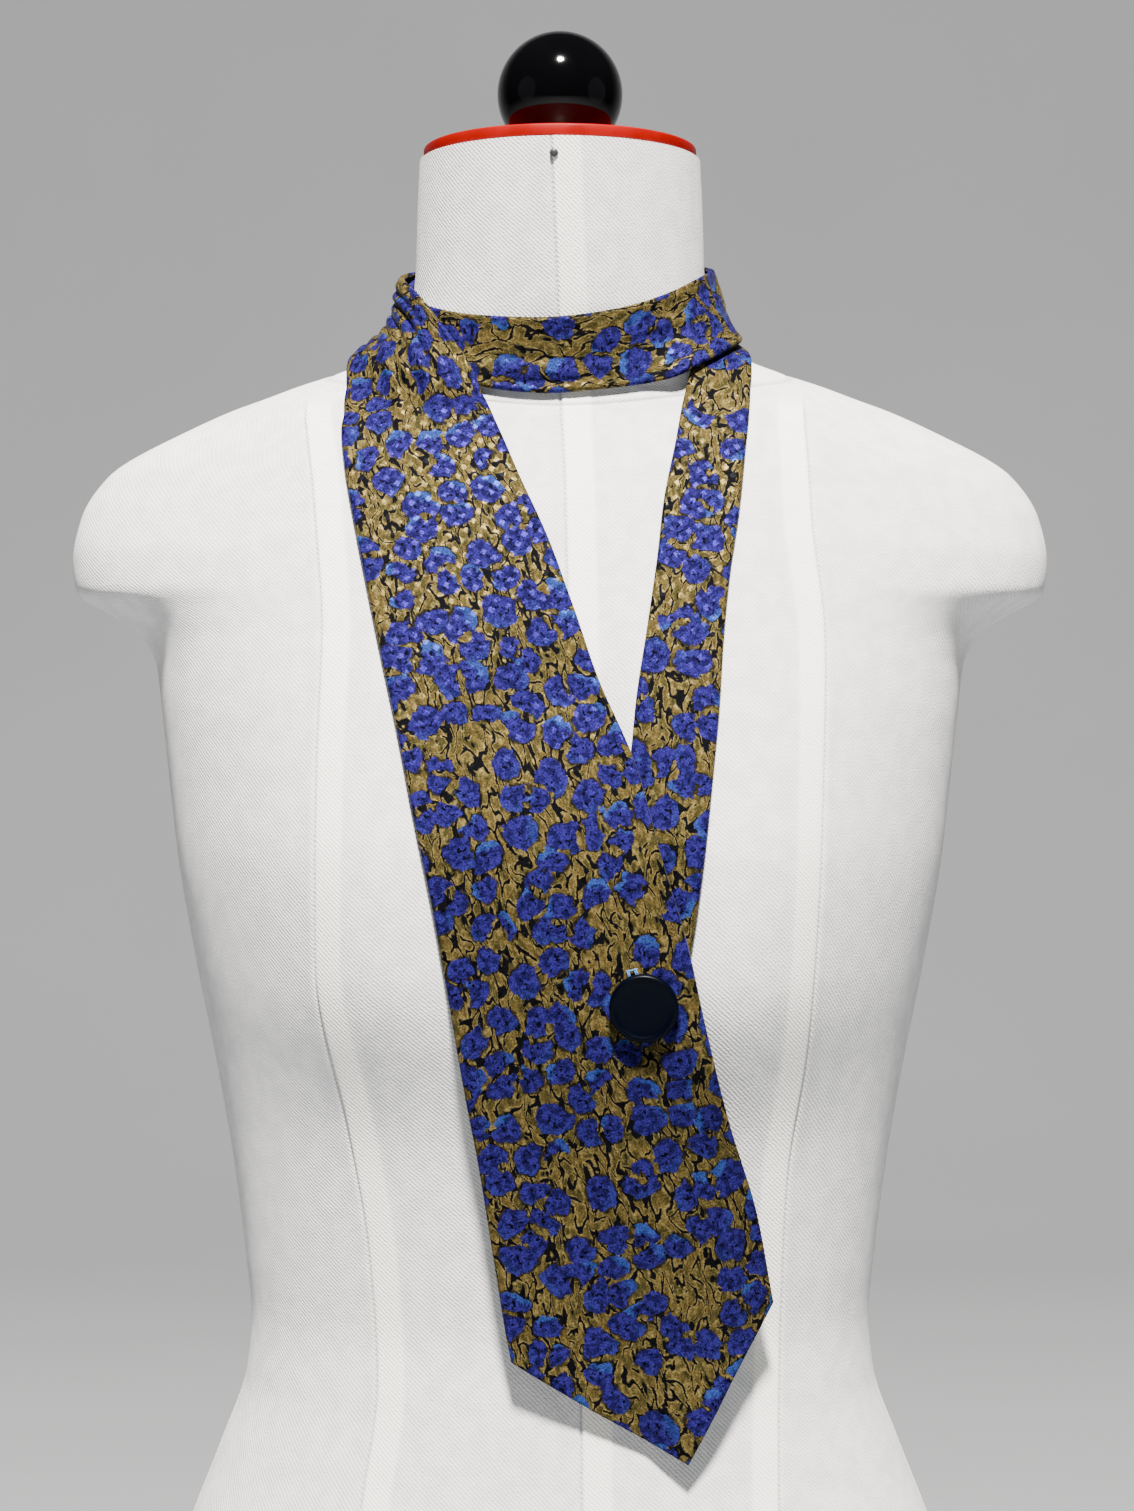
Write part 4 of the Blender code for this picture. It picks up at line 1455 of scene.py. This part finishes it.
    # Strands of the thread tack. Columns: start, end, height of the arch.
    tack_strands: tuple[tuple[Row, Row, float], ...] = (
        ((-2.3, 0.8), (1.4, 1.7), 0.5),
        ((-2.1, 0.8), (-1.6, -1.6), 0.3),
        ((-1.6, 1.0), (-1.1, -1.5), 0.5),
        ((0.5, 1.5), (1.3, -1.0), 0.4),
        ((1.1, 1.6), (1.9, -0.8), 0.6),
    )

    def __post_init__(self) -> None:
        """Set where the stretches start and end, and collect the folds."""
        cut = self.cut
        strip = len(cut.strip_chest) + len(cut.strip_shoulder)
        turns = len(cut.neck_turns)
        corners = strip + turns + len(cut.blade_shoulder) + len(cut.blade_chest) - 1
        self.stretches = (
            Stretch("narrow_strip", 0, strip - 1, 46, 7, 118, ()),
            Stretch("neck_wrap_inner", strip - 1, strip + 5, 26, 9, 62, ()),
            Stretch("neck_band_front", strip + 5, strip + 15, 34, 9, 84, ("narrow_strip",)),
            Stretch("neck_wrap_outer", strip + 15, strip + turns, 26, 9, 62,
                    ("narrow_strip", "neck_wrap_inner")),
            Stretch("wide_blade", strip + turns, corners, 62, 17, 205,
                    ("narrow_strip", "neck_wrap_inner", "neck_band_front")),
        )
        self.shoulder = cut.length_at(strip + turns)
        self.folds = [Fold(*row[:4], self.shoulder + row[4], self.shoulder + row[5])
                      for row in self.gathers]
        self.folds += [Fold(*row[:4], cut.turn_length(row[4]), cut.turn_length(row[5]))
                       for row in self.creases]
        self.folds += [Fold(*row) for row in self.drags]

    def tip_shift(self, base: Grid, across: Grid) -> Grid:
        """Length added towards the tip, so that the rows turn into its point."""
        end, reach = self.cut.lengths[-2], self.cut.lengths[-1] - self.cut.lengths[-2]
        ramp = np.clip((base - end + self.tip_blend) / self.tip_blend, 0, 1) ** 1.5
        return ramp * reach * (1 - np.abs(2 * across - 1))

    def lifts_over(self, feet: Grid, beneath: list[tuple[Grid, Grid]]) -> Grid:
        """Distance of the cloth's inner face from the form where it lies on other stretches.

        Args:
            feet: places on the form under the cloth.
            beneath: feet and lifts of each stretch beneath.

        Returns:
            Distances by row and column.
        """
        lifts = np.full(feet.shape[:-1], self.clearance)
        for under_feet, under_lifts in beneath:
            samples = under_feet.reshape(-1, 3)
            tops = under_lifts.reshape(-1) + self.wall + self.layer_gap
            far = np.linalg.norm(feet.reshape(-1, 1, 3) - samples[None], axis=-1)
            weight = 1 - soft_step((far - self.step_reach) / self.step_fade)
            need = self.clearance + ((tops[None] - self.clearance) * weight).max(1)
            lifts = np.maximum(lifts, need.reshape(lifts.shape))
        return lifts

    def main_folds(self, lengths: Grid, across: Grid, widths: Grid) -> Grid:
        """Height that the folds add."""
        return sum(fold.at(lengths, across, widths) for fold in self.folds)

    def gathered(self, lengths: Grid) -> Grid:
        """Share of flat width that the gathers take up along the strip."""
        offset = lengths - self.shoulder
        before, after = self.gather_reach
        reach = np.where(offset < 0, before, after)
        return self.gather_excess * (1 - soft_step(np.abs(offset) / reach))

    def small_waves(self, lengths: Grid, across: Grid, widths: Grid) -> Grid:
        """Slight puckers along both folded edges."""
        edge = np.minimum(across, 1 - across) * widths
        side = np.where(across < 0.5, 0.0, 2.1)
        short, long, between = self.pucker_lengths
        wave = np.sin(lengths / short + side) * np.sin(lengths / long + 1.3 * side)
        wave = wave + 0.6 * np.sin(lengths / between + 2 * side + 0.4)
        fade = np.exp(-edge / self.pucker_reach) * soft_step(edge / 2.0)
        return self.pucker_height * wave * fade

    def fall_clear(self, depths: Grid, heights: Grid) -> Grid:
        """Depth added where the cloth falls from the bust and hangs clear of the form."""
        hull = depths.copy()
        for row in range(1, len(hull)):
            drop = np.maximum(heights[row - 1] - heights[row], 0)
            hull[row] = np.maximum(hull[row], hull[row - 1] - self.fall_slope * drop)
        return self.fall_limit * np.tanh((hull - depths) / self.fall_limit)

    def bridge(self, depths: Grid, across: Grid) -> Grid:
        """Depth added in a row where the cloth spans a hollow between its edges."""
        chord = depths[:, :1] * (1 - across) + depths[:, -1:] * across
        return self.bridging * np.maximum(chord - depths, 0)

    def lay(self) -> dict[str, Grid]:
        """Lay the whole strip on the form.

        Returns:
            Grids by row and column: feet, normals, lift, lengths, across, and widths by row.
        """
        known: dict[str, tuple[Grid, Grid]] = {}
        parts: list[tuple[Grid, ...]] = []
        for stretch in self.stretches:
            first, last = self.cut.length_at(stretch.start), self.cut.length_at(stretch.end)
            tip = stretch.name == "wide_blade"
            base = np.linspace(first, last, stretch.coarse_rows)[:, None]
            base = base + np.zeros(stretch.coarse_columns)
            inset = self.edge_rounding / self.cut.widths(base)
            across = inset + (1 - 2 * inset) * np.linspace(0, 1, stretch.coarse_columns)
            lengths = base + (self.tip_shift(base, across) if tip else 0)
            feet, _ = self.cut.shape.feet(self.cut.points(lengths, across))
            lifts = self.lifts_over(feet, [known[name] for name in stretch.beneath])
            widths = self.cut.widths(base)
            known[stretch.name] = (feet, lifts + self.main_folds(lengths, across, widths))
            parts.append(self.dense_rows(stretch, first, last, lifts))
        self.blade_rows = len(parts[-1][0])
        base, lift = (np.concatenate([part[i] for part in parts]) for i in (0, 1))
        widths = self.cut.widths(base)[:, None]
        across = self.across_places(widths)
        lengths = base[:, None] + self.tip_shift(base[:, None], across)
        guides = self.cut.points(lengths, across)
        feet, normals = self.cut.shape.feet(guides)
        lift = lift + self.main_folds(lengths, across, widths)
        lift = lift + self.small_waves(lengths, across, widths)
        return {"feet": feet, "normals": normals, "lift": lift, "lengths": lengths,
                "across": across, "widths": widths}

    def across_places(self, widths: Grid) -> Grid:
        """Places across each row, closer together at the folded edges."""
        near = np.array(self.edge_places) / widths
        inner = np.linspace(0, 1, self.columns - 2 * len(self.edge_places) + 2)[1:-1]
        middle = near[:, -1:] + (1 - 2 * near[:, -1:]) * inner
        return np.concatenate([near, middle, 1 - near[:, ::-1]], axis=1)

    def dense_rows(self, stretch: Stretch, first: float, last: float,
                   lifts: Grid) -> tuple[Grid, Grid]:
        """Rows of a stretch in the visible mesh.

        Args:
            stretch: the stretch.
            first: length at its start.
            last: length at its end.
            lifts: its lifts by coarse row and column.

        Returns:
            Length of each row, and the lifts by row and column.
        """
        base = np.linspace(first, last, stretch.rows)
        near = np.array(self.edge_places)
        if first == 0:
            base = np.concatenate([near, base[base > near[-1] + 1]])
        if stretch.name == "wide_blade":
            base = np.concatenate([base[base < last - near[-1] - 1], last - near[::-1]])
        else:
            base = base[:-1]
        widths = self.cut.widths(base)[:, None]
        across = self.across_places(widths)
        inset = self.edge_rounding / widths
        over = np.clip((across - inset) / (1 - 2 * inset), 0, 1) * (stretch.coarse_columns - 1)
        down = (base - first) / (last - first) * (stretch.coarse_rows - 1)
        return base, resample(lifts, down, over)

    def face(self, laid: dict[str, Grid], height: Grid | float) -> Grid:
        """Points at a height above the cloth's inner face."""
        points = laid["feet"] + laid["normals"] * (laid["lift"] + height)[..., None]
        first = len(points) - self.blade_rows
        blade = points[first:]
        blade[..., 1] -= self.fall_clear(-blade[..., 1], blade[..., 2])
        top = laid["feet"][first:, :, 2].max(1, keepdims=True)
        chest = soft_step((self.bridging_top - top) / self.bridging_fade)
        blade[..., 1] -= self.bridge(-blade[..., 1], laid["across"][first:]) * chest
        return points

    def rounding(self, laid: dict[str, Grid]) -> Grid:
        """Share of the full thickness, which falls to 0 in a half circle at the edges."""
        sideways = np.minimum(laid["across"], 1 - laid["across"]) * laid["widths"]
        lengths = laid["lengths"]
        ends = np.minimum(lengths - lengths[:1], lengths[-1:] - lengths)
        inside = np.clip(np.minimum(sideways, ends) / (self.wall / 2), 0, 1)
        return np.sqrt(np.clip(1 - (1 - inside) ** 2, 0, 1))

    def flat_size(self) -> tuple[float, float, float]:
        """Widest place, length and area of the strip laid flat, in millimetres."""
        lengths = self.cut.lengths
        steps, widths = np.diff(lengths), self.cut.widths(lengths)
        area = float((steps[:-1] * (widths[:-2] + widths[1:-1]) / 2).sum())
        return float(widths.max()), float(lengths[-1]), area + float(steps[-1] * widths[-1] / 2)

    @staticmethod
    def shell(outer: Grid, inner: Grid) -> tuple[list[tuple[int, ...]], Grid]:
        """Closed shell of two faces that share the points of their rim.

        Args:
            outer: points of the outer face by row and column.
            inner: points of the inner face.

        Returns:
            Faces, and which points of the outer and then the inner face are used.
        """
        rows, columns = outer.shape[:2]
        number = np.arange(rows * columns).reshape(rows, columns)
        under = number + rows * columns
        rim = np.ones((rows, columns), bool)
        rim[1:-1, 1:-1] = False
        under = np.where(rim, number, under)
        used = np.concatenate([np.ones(rows * columns, bool), ~rim.ravel()])
        renumber = np.cumsum(used) - 1
        faces = []
        for grid in (renumber[number], renumber[under]):
            corners = np.stack([grid[:-1, :-1], grid[:-1, 1:], grid[1:, 1:], grid[1:, :-1]], -1)
            faces += [tuple(int(i) for i in quad) for quad in corners.reshape(-1, 4)]
        return faces, used

    def build_strip(self, finish: bpy.types.Material) -> bpy.types.Object:
        """Whole strip as one closed shell, from its narrow end to its tip."""
        laid = self.lay()
        share = self.rounding(laid) * self.wall / 2
        outer = self.face(laid, self.wall / 2 + share)
        inner = self.face(laid, self.wall / 2 - share)
        self.outer = outer
        faces, used = self.shell(outer, inner)
        points = np.concatenate([outer.reshape(-1, 3), inner.reshape(-1, 3)])[used]
        mesh = new_mesh("folded_silk", points, faces)
        flat_widths = laid["widths"] * (1 + self.gathered(laid["lengths"]))
        place = np.stack([(laid["across"] - 0.5) * flat_widths, laid["lengths"]], -1)
        flat = np.concatenate([place.reshape(-1, 2), place.reshape(-1, 2)])[used]
        loops = np.empty(len(mesh.loops), int)
        mesh.loops.foreach_get("vertex_index", loops)
        mesh.uv_layers.new(name="cut").data.foreach_set("uv", flat[loops].ravel())
        piece = new_piece("folded_silk", mesh, finish, sharp=180)
        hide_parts(*[stretch.name for stretch in self.stretches])
        width, length, area = self.flat_size()
        return piece

    def surface_at(self, x: float, height: float) -> tuple[Grid, Grid, Grid]:
        """Place on the blade's outer face.

        Args:
            x: place across.
            height: place up.

        Returns:
            The point, the direction out of the cloth and the direction up along it.
        """
        blade = self.outer[-self.blade_rows:]
        miss = np.hypot(blade[..., 0] - x, blade[..., 2] - height)
        miss[[0, -1]] = np.inf
        miss[:, [0, -1]] = np.inf
        row, column = np.unravel_index(np.argmin(miss), miss.shape)
        along = blade[row - 1, column] - blade[row + 1, column]
        sideways = blade[row, column + 1] - blade[row, column - 1]
        normal = unit(np.cross(along, sideways))
        if normal[1] > 0:
            normal = -normal
        upward = unit(np.array([0.0, 0.0, 1.0]) - normal * normal[2])
        return blade[row, column], normal, upward

    def build_button(self, finish: bpy.types.Material) -> bpy.types.Object:
        """Turned disc with a raised rim and a shallow dished face."""
        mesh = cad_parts["button"].data
        flat = np.empty(len(mesh.vertices) * 3)
        mesh.vertices.foreach_get("co", flat)
        corners = flat.reshape(-1, 3) * MM_IN_METRE
        centre = (corners.min(0) + corners.max(0)) / 2
        axes = np.linalg.svd(corners - corners.mean(0))[2]
        normal = axes[2] if axes[2][1] < 0 else -axes[2]
        radius = float(np.linalg.norm(corners - centre, axis=1).max())
        depth = (corners - centre) @ normal
        thickness = float(depth.max() - depth.min())
        radius = math.sqrt(radius ** 2 - (thickness / 2) ** 2) if radius > thickness else radius
        radius = min(radius, self.button_radius)
        back = centre + normal * depth.min()
        profile = [(radius * share - inset, thickness * full + offset)
                   for share, inset, full, offset in self.button_profile]
        points, faces = turned_mesh(profile, self.button_sides)
        points = turned_to(points, normal) + back
        piece = new_piece("disc_button", new_mesh("disc_button", points, faces), finish, 60)
        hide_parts("button")
        return piece

    def build_bar_tack(self, finish: bpy.types.Material) -> bpy.types.Object:
        """Small tack of blue thread at the button's edge: one bar over two doubled strands."""
        middle, out, up = self.surface_at(*self.tack_place)
        side = unit(np.cross(up, out))
        paths = []
        for start, end, arch in self.tack_strands:
            share = np.linspace(0, 1, 9)[:, None]
            flat = np.array(start) * (1 - share) + np.array(end) * share
            rise = self.tack_base + arch * 4 * share * (1 - share)
            paths.append(middle + flat[:, :1] * side + flat[:, 1:] * up + rise * out)
        row = StitchRow("bar_tack", pitch=0.42, length=0.8, thickness=0.75, waver=0.10, seed=5)
        piece = row.build(paths, finish)
        return piece


# The studio

@dataclass
class Studio:
    """Pale floor, soft lights and the camera, in metres."""

    floor_size: float = 6.0
    floor_front: float = -3.0
    sweep_radius: float = 1.2
    sweep_distance: float = 1.6
    wall_top: float = 4.0
    camera_place: Row = (0.00284, -1.310, 0.4529)
    lens: float = 77.0
    sensor: float = 36.0
    chest: Row = (0.0, 0.0, 0.42)
    # Columns: name, place, size, power, colour, spread in degrees.
    lights: tuple[tuple[str, Row, float, float, str, float], ...] = (
        ("key", (0.04, -1.58, 3.05), 0.40, 418.0, "#fffaf2", 150.0),
        ("fill_left", (-2.4, -1.2, 0.9), 1.8, 1.6, "#eef3ff", 180.0),
        ("fill_right", (2.4, -0.8, 0.8), 1.8, 1.6, "#eef3ff", 180.0),
    )
    surround: str = "#dfe5ee"
    surround_strength: float = 0.03

    def build_floor(self) -> bpy.types.Object:
        """Floor that sweeps up behind the object."""
        profile = [(self.floor_front, 0.0), (self.sweep_distance, 0.0)]
        for step in np.linspace(0, math.pi / 2, 24):
            profile.append((self.sweep_distance + self.sweep_radius * math.sin(step),
                            self.sweep_radius * (1 - math.cos(step))))
        profile.append((self.sweep_distance + self.sweep_radius, self.wall_top))
        points = [(x, y, z) for y, z in profile for x in (-self.floor_size, self.floor_size)]
        faces = quad_strip(len(profile), 2, False)
        mesh = bpy.data.meshes.new("studio_floor")
        mesh.from_pydata(points, [], faces)
        mesh.shade_smooth()
        piece = new_piece("studio_floor", mesh, StudioPaper().build())
        return piece

    @staticmethod
    def add_light(name: str, place: Row, target: Row, size: float, power: float,
                  colour: str, spread: float) -> None:
        """Round area light that points at a target, with its spread in degrees."""
        data = bpy.data.lights.new(name, "AREA")
        data.shape = "DISK"
        data.size = size
        data.energy = power
        data.spread = math.radians(spread)
        data.color = from_hex(colour)[:3]
        lamp = bpy.data.objects.new(name, data)
        lamp.location = place
        aim = Vector(target) - Vector(place)
        lamp.rotation_euler = aim.to_track_quat("-Z", "Y").to_euler()
        bpy.context.scene.collection.objects.link(lamp)

    def light(self) -> None:
        """High frontal key light, weak fill from both sides and a pale surround."""
        for name, place, *values in self.lights:
            self.add_light(name, place, self.chest, *values)
        world = bpy.data.worlds.new("studio")
        world.use_nodes = True
        background = world.node_tree.nodes["Background"]
        background.inputs["Color"].default_value = from_hex(self.surround)
        background.inputs["Strength"].default_value = self.surround_strength
        bpy.context.scene.world = world

    def place_camera(self) -> None:
        """Camera level with the chest, looking straight at the front."""
        data = bpy.data.cameras.new("camera")
        data.lens = self.lens
        data.sensor_width = self.sensor
        data.sensor_fit = "AUTO"
        data.clip_start = 0.01
        camera = bpy.data.objects.new("camera", data)
        camera.location = self.camera_place
        camera.rotation_euler = (math.pi / 2, 0.0, 0.0)
        bpy.context.scene.collection.objects.link(camera)
        bpy.context.scene.camera = camera


# Putting it together

def main() -> None:
    """Build every piece, fasten it to the body and light the scene."""
    logging.basicConfig(level=logging.INFO, format="%(message)s")
    studio = Studio()
    studio.place_camera()
    studio.build_floor()
    studio.light()
    black = HardGloss("polished phenolic", "#030304", roughness=0.07, ior=1.5, shine=0.3,
                      orange_peel=0.008, grain=3.0)
    red = HardGloss("red lacquer", "#780201", roughness=0.45, ior=1.5, shine=0.10,
                    orange_peel=0.015, grain=1.6)
    button = HardGloss("moulded polyester button", "#01030a", roughness=0.30, ior=1.56,
                       shine=0.05, orange_peel=0.010, grain=2.0)
    steel = HardGloss("blackened steel tack", "#2a2a2e", roughness=0.35, ior=1.5, shine=0.5,
                      orange_peel=0.006, grain=0.8)
    white_thread = TwistedThread("white sewing thread", "#e4e4e2", "#bdbdbb")
    blue_thread = TwistedThread("blue sewing thread", "#4379b4", "#235488")
    shape = FormShape()
    form = DressForm(shape)
    pieces = [form.build_cover(CottonCover().build())]
    LOG.info("covered torso made")
    seams = StitchRow("cover_seam_stitches", pitch=2.4, length=1.9, thickness=0.34,
                      waver=0.05, seed=3)
    stitches = seams.build(form.seam_paths(), white_thread.build())
    pieces.append(stitches)
    LOG.info("seam stitches made")
    pieces.append(form.build_plate(red.build()))
    pieces.append(form.build_ball(black.build()))
    pieces.append(form.build_tack(steel.build()))
    LOG.info("plate, ball and tack made")
    cravat = Cravat(StripCut(shape))
    pieces.append(cravat.build_strip(PrintedSilkTwill().build()))
    LOG.info("folded strip made")
    pieces.append(cravat.build_button(button.build()))
    pieces.append(cravat.build_bar_tack(blue_thread.build()))
    LOG.info("button and bar tack made")
    for piece in pieces:
        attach(piece, "root")


if __name__ == "__main__":
    main()
